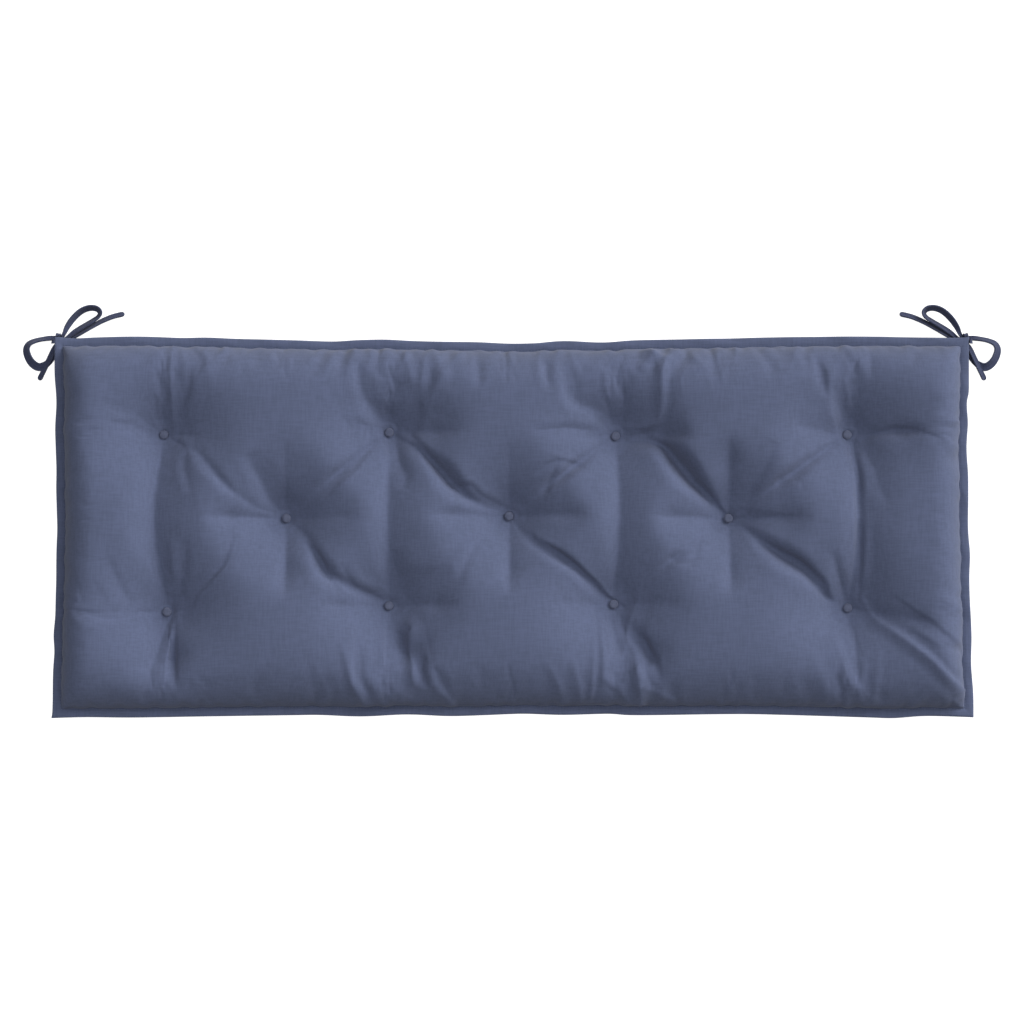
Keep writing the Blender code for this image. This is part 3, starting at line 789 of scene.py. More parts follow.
# The larger pleats along the seam of each side: where along it, how far in they run, their slant, dip and width. A
# numeric search along the seams of the reference found them; they weren't placed by hand.
SEAM_PLEATS: dict[Side, tuple[tuple[float, ...], ...]] = {
    Side.BACK: (
        (-582, 46, 0.47, 0.58, 4.5), (-574, 46, 0.47, 0.58, 9), (-554, 46, -0.47, 0.58, 9),
        (-468, 40, -0.12, -0.435, 7.02), (-468, 46, -0.48, 0.29, 9), (-460, 40, -0.13, -0.29, 3.69),
        (-436, 38, 0.48, -0.58, 9), (-418, 36, 0.47, 0.435, 4.59), (-404, 36, 0.35, -0.435, 3.6),
        (-374, 46, 0.47, -0.87, 7.2), (-372, 40, -0.71, -0.87, 4.5), (-320, 46, 0.35, -0.58, 7.2),
        (-296, 36, -0.35, 0.58, 5.76), (-280, 36, -0.47, -0.725, 5.58), (-244, 44, -0.35, 0.87, 5.58),
        (-228, 46, -0.47, -0.725, 5.58), (-216, 40, -0.35, 0.87, 5.58), (-208, 32, 0.35, -0.87, 4.59),
        (-202, 40, -0.35, -0.87, 5.58), (-182, 46, -0.24, -0.58, 4.5), (-174, 46, 0, 0.87, 4.23),
        (-174, 40, -0.12, 0.87, 4.5), (-141, 46, -0.71, 0.87, 4.59), (-134, 36, -0.35, -1.01, 3.6),
        (-124, 36, 0.35, -0.435, 3.6), (-120, 36, 0.23, -0.435, 4.32), (-104, 42, 0.47, -1.16, 9),
        (-104, 46, 0.35, -1.01, 9), (-83, 20, -0.12, 0.435, 5.58), (-79, 30, -0.59, 0.435, 4.5),
        (-64, 46, -0.71, -1.16, 5.58), (-46, 46, 0.01, 0.87, 9), (-46, 46, 0.01, 0.87, 9),
        (-8, 46, 0, 0.725, 3.6), (-6, 32, 0.35, -0.435, 3.6), (34, 46, 0, -0.87, 4.5),
        (57, 28, 0.35, -0.725, 4.5), (60, 46, -0.12, -0.87, 4.5), (74, 46, 0.35, -0.435, 3.6),
        (74, 42, 0.35, -0.435, 3.6), (102, 44, -0.35, 0.725, 4.5), (109, 46, -0.35, 0.58, 9),
        (148, 44, 0.59, 1.01, 8.82), (182, 46, 0.35, -0.87, 4.5), (182, 46, 0.35, -0.87, 7.2),
        (196, 46, -0.35, 0.725, 4.5), (214, 44, -0.59, -0.87, 5.76), (234, 46, -0.59, 1.16, 5.76),
        (235, 46, -0.71, 1.16, 5.76), (292, 40, 0, -0.87, 4.5), (315, 44, 0.71, 0.435, 4.5),
        (316, 46, 0.71, 0.58, 5.58), (336, 40, 0.59, -0.435, 5.76), (352, 46, -0.47, 0.58, 9),
        (354, 46, -0.47, 0.58, 7.2), (369, 40, 0.24, -0.435, 3.69), (372, 32, -0.11, -0.435, 4.5),
        (374, 44, -0.47, -0.29, 4.5), (396, 24, -0.35, -0.725, 4.5), (454, 36, -0.01, -0.29, 5.58),
        (464, 46, 0.12, 0.87, 5.58), (470, 42, -0.12, 0.725, 4.5), (482, 46, -0.35, 0.87, 8.82),
        (514, 36, 0.11, -0.58, 7.2), (556, 46, 0, 0.58, 9), (557, 46, 0.12, 0.58, 9),
    ),
    Side.FRONT: (
        (-468, 46, -0.12, 0.58, 9), (-454, 46, -0.47, 0.87, 9), (-436, 46, 0.23, -0.435, 4.59),
        (-426, 46, -0.11, -0.29, 9), (-216, 46, -0.35, -0.435, 3.42), (-170, 46, -0.36, -1.01, 5.76),
        (-169, 36, -0.12, -0.58, 9), (42, 46, 0.11, 1.16, 9), (114, 36, 0.59, -0.435, 9),
        (114, 40, 0.47, -0.435, 9), (122, 32, 0.47, -0.435, 9), (196, 46, 0, -0.87, 4.5),
        (393, 46, -0.47, 0.725, 7.2), (412, 46, -0.47, -1.01, 9), (434, 46, 0.11, -0.58, 7.2),
        (460, 46, -0.71, -1.01, 9), (520, 36, 0.59, -0.29, 9), (525, 42, -0.48, -0.58, 9),
        (562, 46, 0.24, 0.58, 9),
    ),
    Side.LEFT: (
        (134, 24, -1.07, -0.435, 9), (136, 20, -0.59, -0.29, 9), (136, 24, -0.83, -0.29, 9),
        (219, 16, -1.31, -0.58, 9),
    ),
    Side.RIGHT: (
        (-213, 44, 0.83, 1.01, 3.69), (-213, 32, 0.59, 0.87, 4.5), (-167, 32, 0.35, 0.725, 4.5),
        (-164, 36, 0.23, 0.725, 4.5), (-141, 46, -0.35, -0.725, 7.02), (-112, 24, 0.71, -0.87, 9),
        (-112, 34, 0.47, -1.01, 7.2), (-105, 32, 0.71, 0.58, 5.76), (86, 46, -0.49, 1.01, 9),
        (86, 46, -0.01, 0.87, 9), (96, 40, 0.59, -1.01, 5.76), (133, 40, 0.23, -0.725, 5.76),
        (134, 46, 0, -0.725, 4.5), (136, 46, 1.07, -0.725, 9), (162, 44, -0.71, -0.435, 9),
        (163, 46, 0.24, -0.87, 9),
    ),
}  # fmt: skip


@dataclass
class Cover:
    """The padded cover: two panels sewn together, with a stitched flange outside the seam.

    Attributes:
        length: from end to end, flange and all.
        depth: from the front edge to the back edge.
        untufted_height: the height that the top would reach with no tufting, which draws it down to about 70 mm.
        flange_width: how far the flange stands out of the seam.
        flange_thickness: both panels together.
        seam_height: how high the middle of the flange lies.
        left_shoulder: how far in from the left seam the top is full.
        right_shoulder: the same from the right seam.
        rear_shoulder: the same from the back seam.
        front_shoulder: the same from the front seam.
        shoulder_round: how soon the shoulders of the top are full; higher is sooner.
        shoulder_steep: how gently they leave the seam; lower is steeper.
        back_shoulder: how far in from the seam the back lies flat.
        back_round: how soon the shoulders of the back are full.
        back_steep: how gently they leave the seam.
        end_draw_in: how far the filling draws each end in, half-way along it.
        rear_draw_in: the same for the back side.
        front_draw_in: the same for the front side.
        waver: how far the gathers push the seam to and fro.
        waver_reach: how far from the seam they do so.
        seat_radius: the flat place under a button.
        seat_height: how high that place lies.
        tuft_reach: how fast the cloth rises around a button.
        dimple_depth: how far the thread of a button lifts the back.
        dimple_reach: how fast the back falls away around it.
        spoke_reach: how far the channels of the middle buttons run before they fade out.
        row_reach: how far those along the back and front rows run.
        blend: how sharply channels and tufts run into each other.
        level_share: the share of a tuft's depth below which the filling bridges them.
        level_softness: how softly it does so.
        gather_share: the share of a tuft's depth beyond which channels that meet add up more slowly.
        gather_drop: how much of what lies beyond that share is lost.
        gather_softness: how softly that sets in.
        channel_softness: how round the bottom of a channel is, in millimetres.
        runs_on: how near the seam a fold's end has to lie for the fold to run on over it.
        cell: the spacing of the cloth's grid before it is rounded.
        fine_reach: how near a button's row or column the grid has half that spacing.
        lip: how far the cloth stands up round a button.
        lip_inside: how far from a button's middle the lip starts.
        settle_most: how far any point may move as the cloth settles.
        settle_share: how much of that movement is kept.
        stitch_inset: how far outside the seam the topstitching runs.
        ripple: how far the flange waves up and down at its edge.
    """

    length: float = 1200.0
    depth: float = 500.0
    untufted_height: float = 72.3
    flange_width: float = 12.0
    flange_thickness: float = 3.0
    seam_height: float = 20.0
    left_shoulder: float = 49.9
    right_shoulder: float = 42.1
    rear_shoulder: float = 89.5
    front_shoulder: float = 130.5
    shoulder_round: float = 3.063
    shoulder_steep: float = 0.503
    back_shoulder: float = 41.0
    back_round: float = 2.0
    back_steep: float = 0.5
    end_draw_in: float = 4.5
    rear_draw_in: float = 8.0
    front_draw_in: float = 4.5
    waver: float = 0.8
    waver_reach: float = 5.0
    seat_radius: float = 5.5
    seat_height: float = 28.0
    tuft_reach: float = 80.7
    dimple_depth: float = 8.0
    dimple_reach: float = 16.0
    spoke_reach: float = 130.0
    row_reach: float = 116.0
    blend: float = 7.6
    level_share: float = 0.281
    level_softness: float = 0.11
    gather_share: float = 0.85
    gather_drop: float = 0.65
    gather_softness: float = 0.06
    channel_softness: float = 3.0
    runs_on: float = 24.0
    cell: float = 5.0
    fine_reach: float = 14.0
    lip: float = 0.4
    lip_inside: float = 5.9
    settle_most: float = 5.0
    settle_share: float = 0.35
    stitch_inset: float = 1.5
    ripple: float = 0.7

    def channels(self) -> list[tuple[Array, Course, float, float]]:
        """The lines along which the cloth is drawn down between buttons and out to the seams.

        Returns:
            For each line its points, its course, and the shares of a tuft's depth that it has at its far end and
            half-way along.
        """
        back, middle, front = BUTTONS
        found = [(smooth_path(line, 4), COLUMN, 1.0) for line in COLUMN_LINES]
        found += [(smooth_path(line, 4), DIAGONAL, 1.0) for line in FALLING_LINES]
        for place, button in enumerate(middle):
            found += [
                (np.array((button, back[place + 1])), DIAGONAL, 1.0),
                (np.array((front[place], button)), DIAGONAL, 1.0),
            ]
            for ahead, aside in ((0, 1), (0, -1), (1, 0), (-1, 0)):
                end = (button[0] + ahead * self.spoke_reach, button[1] + aside * self.spoke_reach)
                found.append((np.array((button, end)), SPOKE, 0.0))
        for row in (back, front):
            ways = [(button, 1) for button in row[:-1]] + [(button, -1) for button in row[1:]]
            for (x, y), way in ways:
                found.append((np.array(((x, y), (x + way * self.row_reach, y))), ALONG_ROW, 0.0))
        for lines, course in ((SIDE_LINES, TO_SIDE), (REAR_LINES, TO_BACK), (FRONT_LINES, TO_FRONT)):
            found += [(smooth_path(line, 4), course, 0.0) for line in lines]
        return [
            (line.astype(float), course, end, middle)
            for (line, course, end), middle in zip(found, CHANNEL_SHARES, strict=True)
        ]

    @staticmethod
    def _shoulder(inward: Array, width: float, round_to: float, steep: float) -> Array:
        """0 at the seam, steep there, and rounding over to 1 at a width in from it."""
        return (1 - (1 - np.clip(inward / width, 0.0, 1.0)) ** round_to) ** steep

    def inward(self, x: Array, y: Array) -> Array:
        """How far places of the flat cover lie inside the seam, in millimetres; below 0 on the flange."""
        return np.minimum(
            self.length / 2 - self.flange_width - np.abs(x), self.depth / 2 - self.flange_width - np.abs(y)
        )

    def top_fullness(self, x: Array, y: Array) -> Array:
        """How full the top is over places of the flat cover: 0 at the seam, 1 well inside it."""
        end = self.length / 2 - self.flange_width
        side = self.depth / 2 - self.flange_width
        full = np.ones(x.shape)
        for inward, width in (
            (end + x, self.left_shoulder), (end - x, self.right_shoulder),
            (side - y, self.rear_shoulder), (side + y, self.front_shoulder),
        ):  # fmt: skip
            full = full * self._shoulder(inward, width, self.shoulder_round, self.shoulder_steep)
        return full

    def back_fullness(self, x: Array, y: Array) -> Array:
        """How far the back has come down to what it lies on: 0 at the seam, 1 where it lies flat."""
        from_end = self.length / 2 - self.flange_width - np.abs(x)
        from_side = self.depth / 2 - self.flange_width - np.abs(y)
        ends, sides = (
            self._shoulder(inward, self.back_shoulder, self.back_round, self.back_steep)
            for inward in (from_end, from_side)
        )
        return ends * sides

    def _tuft(self, x: Array, y: Array, reach: float) -> list[Array]:
        """How far each button draws the cloth down, as a share of a tuft's depth."""
        return [
            np.exp(-np.maximum(np.hypot(x - button_x, y - button_y) - self.seat_radius, 0.0) / reach)
            for row in BUTTONS
            for button_x, button_y in row
        ]

    def quilting(self, x: Array, y: Array) -> Array:
        """How far tufts and channels together draw the cloth down, as a share of a tuft's depth."""
        depths = self._tuft(x, y, self.tuft_reach)
        for line, course, at_end, middle in self.channels():
            away, side, along = beside_path(x, y, line)
            away = np.hypot(away, self.channel_softness) - self.channel_softness
            nearer_end = np.where(along < 0.5, 1.0, at_end)
            floor = middle + (nearer_end - middle) * np.abs(2 * along - 1) ** course.lateness
            reach = between_sides(side, course.left_reach, course.right_reach)
            depths.append(floor * np.exp(-away / reach))
        together = sum(depth**self.blend for depth in depths) ** (1 / self.blend) - self.level_share
        softened = (together + np.hypot(together, self.level_softness)) / 2 / (1 - self.level_share)
        beyond = softened - self.gather_share
        return softened - self.gather_drop * (beyond + np.hypot(beyond, self.gather_softness)) / 2

    def top_height(self, x: Array, y: Array) -> Array:
        """How high the top of the cover lies over places of the flat cover."""
        base = self.seam_height + self.flange_thickness / 2
        crown = self.untufted_height - self.quilting(x, y) * (self.untufted_height - self.seat_height)
        return base + self.top_fullness(x, y) * (crown - base) + self._flange_relief(x, y) + self._flange_ripple(x, y)

    def back_height(self, x: Array, y: Array) -> Array:
        """How high the back of the cover lies over places of the flat cover."""
        full = self.back_fullness(x, y)
        base = self.seam_height - self.flange_thickness / 2
        pull = np.max(self._tuft(x, y, self.dimple_reach), axis=0)
        dimple = self.dimple_depth * np.maximum(pull - 0.1, 0.0) / 0.9
        return base * (1 - full) + dimple * full - self._flange_relief(x, y) + self._flange_ripple(x, y)

    def _flange_relief(self, x: Array, y: Array) -> Array:
        """The flange's own shape: a rounded edge, a slight swell, and the groove that the topstitching makes."""
        outward = -self.inward(x, y) + 0.5 * np.sin((x + y) / 3.7) * np.sin((x - y) / 23.0)
        places = (-3.0, -1.0, 0.0, self.stitch_inset, 3.6, 7.0, 10.6, self.flange_width)
        relief = (0.0, -0.3, -0.6, -0.5, 0.05, 0.2, 0.1, -0.7)
        return np.interp(outward, places, relief, left=0.0)

    def _flange_ripple(self, x: Array, y: Array) -> Array:
        """How far the flange waves up and down along its length, more so towards its edge."""
        along = x + 1.6 * y
        wave = 0.5 * np.sin(along / 9.3 + 0.4) + 0.8 * np.sin(along / 17.1 + 1.9) + 0.6 * np.sin(along / 31.7)
        return self.ripple * wave * smoothstep(-self.inward(x, y) / self.flange_width)

    def drawn_in(self, x: Array, y: Array) -> tuple[Array, Array]:
        """Where places of the flat cover end up once the filling has drawn its sides in."""
        end_share = 1 - (2 * y / self.depth) ** 2
        side_share = 1 - (2 * x / self.length) ** 2
        side_most = np.where(y > 0, self.rear_draw_in, self.front_draw_in)
        end_table = np.where(x > 0, self._side_line(RIGHT_SIDE, y), self._side_line(LEFT_SIDE, y))
        side_table = np.where(y > 0, self._side_line(BACK_SIDE, x), self._side_line(FRONT_SIDE, x))
        end_wave = (end_table - self.end_draw_in * end_share) * np.abs(2 * x / self.length) ** 16
        side_wave = (side_table - side_most * side_share) * np.abs(2 * y / self.depth) ** 8
        end_waver = self._seam_waver(self.length / 2 - self.flange_width - np.abs(x), y)
        side_waver = self._seam_waver(self.depth / 2 - self.flange_width - np.abs(y), x)
        return (
            x * (1 - 2 * (self.end_draw_in * end_share + end_wave) / self.length) + np.sign(x) * end_waver,
            y * (1 - 2 * (side_most * side_share + side_wave) / self.depth) + np.sign(y) * side_waver,
        )

    def _seam_waver(self, inward: Array, along: Array) -> Array:
        """How far the gathers push the seam to and fro along one side; nothing at the flange's edge."""
        waver = np.sin(along / 5.3 + 0.7) * np.sin(along / 31.0 + 0.2) + 0.6 * np.sin(along / 3.3 + 1.3)
        return self.waver * waver * np.exp(-((inward / self.waver_reach) ** 2))

    @staticmethod
    def _side_line(side: tuple[Point, ...], along: Array) -> Array:
        """Read a side's table with a smooth curve through it."""
        curve = smooth_path(side, 6)
        return np.interp(along, curve[:, 0], curve[:, 1])

    def laid_flat(self, x: Array, y: Array) -> tuple[Array, Array]:
        """Where places of the finished cover lay before its sides were drawn in."""
        flat_x, flat_y = x, y
        for _ in range(3):
            there_x, there_y = self.drawn_in(flat_x, flat_y)
            flat_x, flat_y = flat_x + x - there_x, flat_y + y - there_y
        return flat_x, flat_y

    def _lines(self, half: float, buttons: list[float]) -> list[float]:
        """Grid lines from one side of the cover to the other: close at the seam and by the buttons, even between.

        Args:
            half: half the cover's width in this direction.
            buttons: where the buttons are in this direction.

        Returns:
            The lines' places, in millimetres.
        """
        seam = half - self.flange_width
        outside = (half, half - 1.4, half - 4.0, half - 6.6, seam + 3.4, seam + self.stitch_inset, seam + 0.5)
        steps = (0.0, 0.35, 1.1, 2.5, 4.6, 7.6, 11.6, 16.6, 21.6)
        right = [*outside, *(seam - step for step in steps)]
        span = 2 * right[-1]
        count = 2 * round(span / self.cell / 2)
        even = [span * (place / count - 0.5) for place in range(1, count)]
        between = even[:1]
        for line in even[1:]:
            middle = (between[-1] + line) / 2
            if min(abs(middle - button) for button in buttons) < self.fine_reach:
                between.append(middle)
            between.append(line)
        return [-place for place in right] + between + right[::-1]

    def _sheets(self) -> tuple[Array, Array, list[tuple[int, ...]]]:
        """Both panels as one closed grid, the back one coarser than the top one.

        Returns:
            The flat places of all points, which of them belong to the top, and the faces.
        """
        x_lines = self._lines(self.length / 2, [x for row in BUTTONS for x, _ in row])
        y_lines = self._lines(self.depth / 2, [y for row in BUTTONS for _, y in row])
        back_columns = self._every_second(len(x_lines))
        back_rows = self._every_second(len(y_lines))
        places: list[Point] = [(x, y) for y in y_lines for x in x_lines]
        top_count = len(places)
        places += [(x_lines[column], y_lines[row]) for row in back_rows for column in back_columns]
        wide, back_wide = len(x_lines), len(back_columns)
        faces: list[tuple[int, ...]] = []
        for row in range(len(y_lines) - 1):
            for column in range(wide - 1):
                corner = row * wide + column
                faces.append((corner, corner + 1, corner + wide + 1, corner + wide))
        for row in range(len(back_rows) - 1):
            for column in range(back_wide - 1):
                corner = top_count + row * back_wide + column
                faces.append((corner, corner + back_wide, corner + back_wide + 1, corner + 1))
        for row, back_row, outwards in ((0, 0, 1), (len(y_lines) - 1, len(back_rows) - 1, -1)):
            for column in range(back_wide - 1):
                upper = [row * wide + step for step in range(back_columns[column], back_columns[column + 1] + 1)]
                lower = [top_count + back_row * back_wide + column + step for step in (0, 1)]
                faces.append(tuple((lower + upper[::-1])[:: outwards]))
        for column, back_column, outwards in ((0, 0, -1), (wide - 1, back_wide - 1, 1)):
            for row in range(len(back_rows) - 1):
                upper = [step * wide + column for step in range(back_rows[row], back_rows[row + 1] + 1)]
                lower = [top_count + (row + step) * back_wide + back_column for step in (0, 1)]
                faces.append(tuple((lower + upper[::-1])[:: outwards]))
        is_top = np.arange(len(places)) < top_count
        return np.asarray(places), is_top, faces

    @staticmethod
    def _every_second(count: int) -> list[int]:
        """The grid lines that the back panel shares with the top one: all near the seam, every second between."""
        near = 16
        inner = list(range(near, count - near))[1::2]
        return [*range(near), *[line for line in inner if line < count - near - 1], *range(count - near, count)]

    def _settle(self, sheet: bpy.types.Object, held: Array) -> None:
        """Let the filling press the cloth out between what holds it down, as Blender's cloth does.

        Args:
            sheet: the cover.
            held: which points are sewn or pulled down, and stay where they are.
        """
        before = read_points(sheet.data)
        group = sheet.vertex_groups.new(name="held")
        group.add([int(index) for index in np.flatnonzero(held)], 1.0, "REPLACE")
        cloth = sheet.modifiers.new("settling", "CLOTH")
        settings = cloth.settings
        settings.quality = 7
        settings.mass = 0.15
        settings.tension_stiffness = settings.compression_stiffness = 12.0
        settings.shear_stiffness = 4.0
        settings.bending_stiffness = 0.05
        settings.tension_damping = settings.compression_damping = 8.0
        settings.use_pressure = True
        settings.uniform_pressure_force = 4.0
        settings.shrink_min = -0.035
        settings.effector_weights.gravity = 0.0
        settings.vertex_group_mass = "held"
        cloth.point_cache.frame_start = 1
        cloth.point_cache.frame_end = 20
        for frame in range(1, 21):
            bpy.context.scene.frame_set(frame)
        make_active(sheet)
        bpy.ops.object.modifier_apply(modifier=cloth.name)
        bpy.context.scene.frame_set(1)
        sheet.vertex_groups.remove(sheet.vertex_groups["held"])
        moved = read_points(sheet.data) - before
        far = np.linalg.norm(moved, axis=1, keepdims=True) / (self.settle_most * MM)
        write_points(sheet.data, before + self.settle_share * moved / np.maximum(far, 1.0))

    def seam_pleats(self) -> list[Fold]:
        """The pleats where the cloth is gathered on to the seam: those of the tables, and small ones between."""
        chance = np.random.default_rng(11)
        found = []
        for side, table in SEAM_PLEATS.items():
            upright = side in (Side.LEFT, Side.RIGHT)
            way = 1 if side in (Side.BACK, Side.RIGHT) else -1
            half = (self.depth if upright else self.length) / 2
            seam = (self.length if upright else self.depth) / 2 - self.flange_width
            small = []
            along = 24 - half
            while along < half - 24:
                along += chance.uniform(7, 22)
                dip = chance.uniform(0.25, 0.8) * chance.choice((1, 1, -0.8))
                small.append((along, chance.uniform(6, 16), chance.normal(0, 0.2), dip, chance.uniform(2.4, 4.5)))
            for along, reach, slant, dip, width in (*table, *small):
                steps = np.array((-1.5, reach * 0.5, reach))
                inner, beside = way * (seam - steps), along + slant * steps
                points = self.drawn_in(inner, beside) if upright else self.drawn_in(beside, inner)
                line = tuple(zip(points[0].tolist(), points[1].tolist()))
                found.append(Fold(float(dip), width, width, line, gathered=True))
        return found

    def _run_on(self, line: tuple[Point, ...]) -> tuple[Array, float, float]:
        """Run a fold on over the seam where one of its ends comes close to it.

        Args:
            line: the points that the fold runs through.

        Returns:
            The longer line, and how far through its swell and fade the fold is at its start and at its end: 0 and
            1, or 0.5, where it is deepest, at an end that lies over the seam.
        """
        rows = np.asarray(line, dtype=float)
        start, end = 0.0, 1.0
        close = self.inward(rows[:, 0], rows[:, 1]) < self.runs_on
        if close[0]:
            step = rows[0] - rows[1]
            rows, start = np.vstack([rows[0] + step / np.hypot(*step) * self.runs_on, rows]), 0.5
        if close[-1]:
            step = rows[-1] - rows[-2]
            rows, end = np.vstack([rows, rows[-1] + step / np.hypot(*step) * self.runs_on]), 0.5
        return rows, start, end

    def fold_height(self, x: Array, y: Array, folds: Iterable[Fold]) -> Array:
        """How far folds lift the cloth at places of the cover.

        Args:
            x: the places' x on the finished cover, in millimetres.
            y: their y.
            folds: the folds.

        Returns:
            The height, in millimetres, below 0 in a dip.
        """
        height = np.zeros(x.shape)
        for fold in folds:
            rows, start, end = (np.asarray(fold.line), 0.5, 1.0) if fold.gathered else self._run_on(fold.line)
            line = smooth_path(rows, 5)
            reach = 4.0 * max(fold.left_width, fold.right_width)
            low, high = line.min(axis=0) - reach, line.max(axis=0) + reach
            near = (x > low[0]) & (x < high[0]) & (y > low[1]) & (y < high[1])
            if not near.any():
                continue
            away, side, along = beside_path(x[near], y[near], line)
            width = between_sides(side, fold.left_width, fold.right_width)
            through = np.clip(start + (end - start) * along, 0.0, 1.0)
            taper = (4 * through * (1 - through)) ** 0.6
            trough = np.exp(-((away / width) ** 1.4))
            banks = 0.2 * np.exp(-(((away - 2.1 * width) / (0.9 * width)) ** 2))
            height[near] -= fold.dip * taper * (trough - banks)
        return height

    def _button_lips(self, x: Array, y: Array) -> Array:
        """How far the cloth stands up round the buttons that press into it, gathered a little all round."""
        height = np.zeros(x.shape)
        for number, (button_x, button_y) in enumerate(place for row in BUTTONS for place in row):
            away = np.hypot(x - button_x, y - button_y) - self.lip_inside
            around = np.arctan2(y - button_y, x - button_x)
            gathers = 1 + 0.22 * np.sin(7 * around + 1.7 * number) + 0.16 * np.sin(11 * around + 2.9 * number)
            height += self.lip * gathers * smoothstep(away / 1.8) * np.exp(-np.maximum(away, 0.0) / 6.0)
        return height

    def _add_folds(self, sheet: bpy.types.Object) -> None:
        """Lay the folds into the top panel, square to its surface."""
        points = read_points(sheet.data)
        normals = np.empty(len(points) * 3, dtype=np.float32)
        sheet.data.vertex_normals.foreach_get("vector", normals)
        normals = normals.reshape(-1, 3)
        x, y = points[:, 0] / MM, points[:, 1] / MM
        flat_x, flat_y = self.laid_flat(x, y)
        seam = self.inward(flat_x, flat_y)
        on_top = (points[:, 2] > self.seam_height * MM) & (seam > 0)
        free = smoothstep((from_buttons(x, y) - 5.8) / 5.0) * on_top
        folds = self.fold_height(x, y, [*FOLDS, *self.seam_pleats()]) * smoothstep(seam / 2.5) * free
        lift = (folds + self._button_lips(x, y) * on_top) * MM
        write_points(sheet.data, points + normals * lift[:, None])

    def build(self) -> bpy.types.Object:
        """Make the cover and dress it.

        Returns:
            The finished cover.
        """
        places, is_top, faces = self._sheets()
        x, y = places[:, 0], places[:, 1]
        height = np.where(is_top, self.top_height(x, y), self.back_height(x, y))
        final_x, final_y = self.drawn_in(x, y)
        points = np.stack([final_x, final_y, height], axis=1) * MM
        cover = add_mesh("cushion_cover", points.tolist(), faces)

        held = ~is_top | (self.inward(x, y) < 1.0) | (from_buttons(x, y) < self.seat_radius + 3)
        self._settle(cover, held)

        round_off(cover)
        self._add_folds(cover)
        cover.data.shade_smooth()
        set_material(cover, COVER_CLOTH.material())
        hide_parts("cushion")
        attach(cover, BODY)
        log.info("cover: %d points", len(cover.data.vertices))
        return cover


# --------------------------------------------------------------------------------------------------------------
# Buttons
# --------------------------------------------------------------------------------------------------------------


@dataclass
class CoveredButtons:
    """Eleven buttons covered in the cushion's cloth: a soft dome whose cloth is gathered in under its rim.

    Attributes:
        radius: of one button, in millimetres.
        height: from its back to the top of its dome.
        gathers: how many small pleats the rim has.
    """

    radius: float = 5.9
    height: float = 3.6
    gathers: int = 14

    def _model(self) -> bpy.types.Object:
        """Model one button, standing on the origin."""
        deselect_all()
        bpy.ops.mesh.primitive_circle_add(vertices=2 * self.gathers, radius=self.radius * 0.72 * MM, fill_type="NGON")
        button = bpy.context.object
        bpy.ops.object.mode_set(mode="EDIT")
        bpy.ops.mesh.select_all(action="SELECT")
        profile = (
            (0.72, 0.0), (0.93, 0.15), (1.0, 0.36), (0.985, 0.55), (0.91, 0.74), (0.76, 0.88), (0.5, 0.965),
            (0.22, 0.995),
        )  # fmt: skip
        for (radius, height), (next_radius, next_height) in zip(profile, profile[1:]):
            rise = (next_height - height) * self.height * MM
            bpy.ops.mesh.extrude_region_move(TRANSFORM_OT_translate={"value": (0, 0, rise)})
            grow = next_radius / radius
            bpy.ops.transform.resize(value=(grow, grow, 1), center_override=(0, 0, 0))
        bpy.ops.mesh.poke()
        bpy.ops.mesh.select_all(action="SELECT")
        bpy.ops.mesh.normals_make_consistent(inside=False)
        bpy.ops.object.mode_set(mode="OBJECT")
        points = read_points(button.data)
        around = np.arctan2(points[:, 1], points[:, 0])
        low = np.clip(1 - points[:, 2] / (0.62 * self.height * MM), 0.0, 1.0)
        pleat = 1 + 0.035 * low * np.cos(self.gathers * around)
        points[:, :2] *= pleat[:, None]
        write_points(button.data, points)
        round_off(button)
        button.data.shade_smooth()
        return button

    def build(self) -> list[bpy.types.Object]:
        """Make the buttons and dress them.

        Returns:
            The buttons, in the rows' order.
        """
        pattern = self._model()
        # The buttons' cloth is painted a little darker than the cover's: painted shade.
        finish = SHADED_BUTTON_CLOTH.material()
        made = []
        for number in range(1, sum(len(row) for row in BUTTONS) + 1):
            node = f"button_{number:02d}"
            low, high = (np.asarray(corner, dtype=float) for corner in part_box(node))
            middle = (low + high) / 2
            turn = Matrix.Rotation(number * 2.4, 4, "Z")
            mesh = pattern.data.copy()
            mesh.transform(Matrix.Translation((middle[0], middle[1], low[2])) @ turn)
            mesh.name = f"covered_{node}"
            button = bpy.data.objects.new(mesh.name, mesh)
            bpy.context.scene.collection.objects.link(button)
            set_material(button, finish)
            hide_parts(node)
            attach(button, BODY)
            made.append(button)
        bpy.data.objects.remove(pattern, do_unlink=True)
        log.info("buttons: %d", len(made))
        return made


# --------------------------------------------------------------------------------------------------------------
# Ties
# --------------------------------------------------------------------------------------------------------------


class Bow(Enum):
    """The two back corners that carry a bow, with the way that its tables are turned."""

    LEFT = -1
    RIGHT = 1


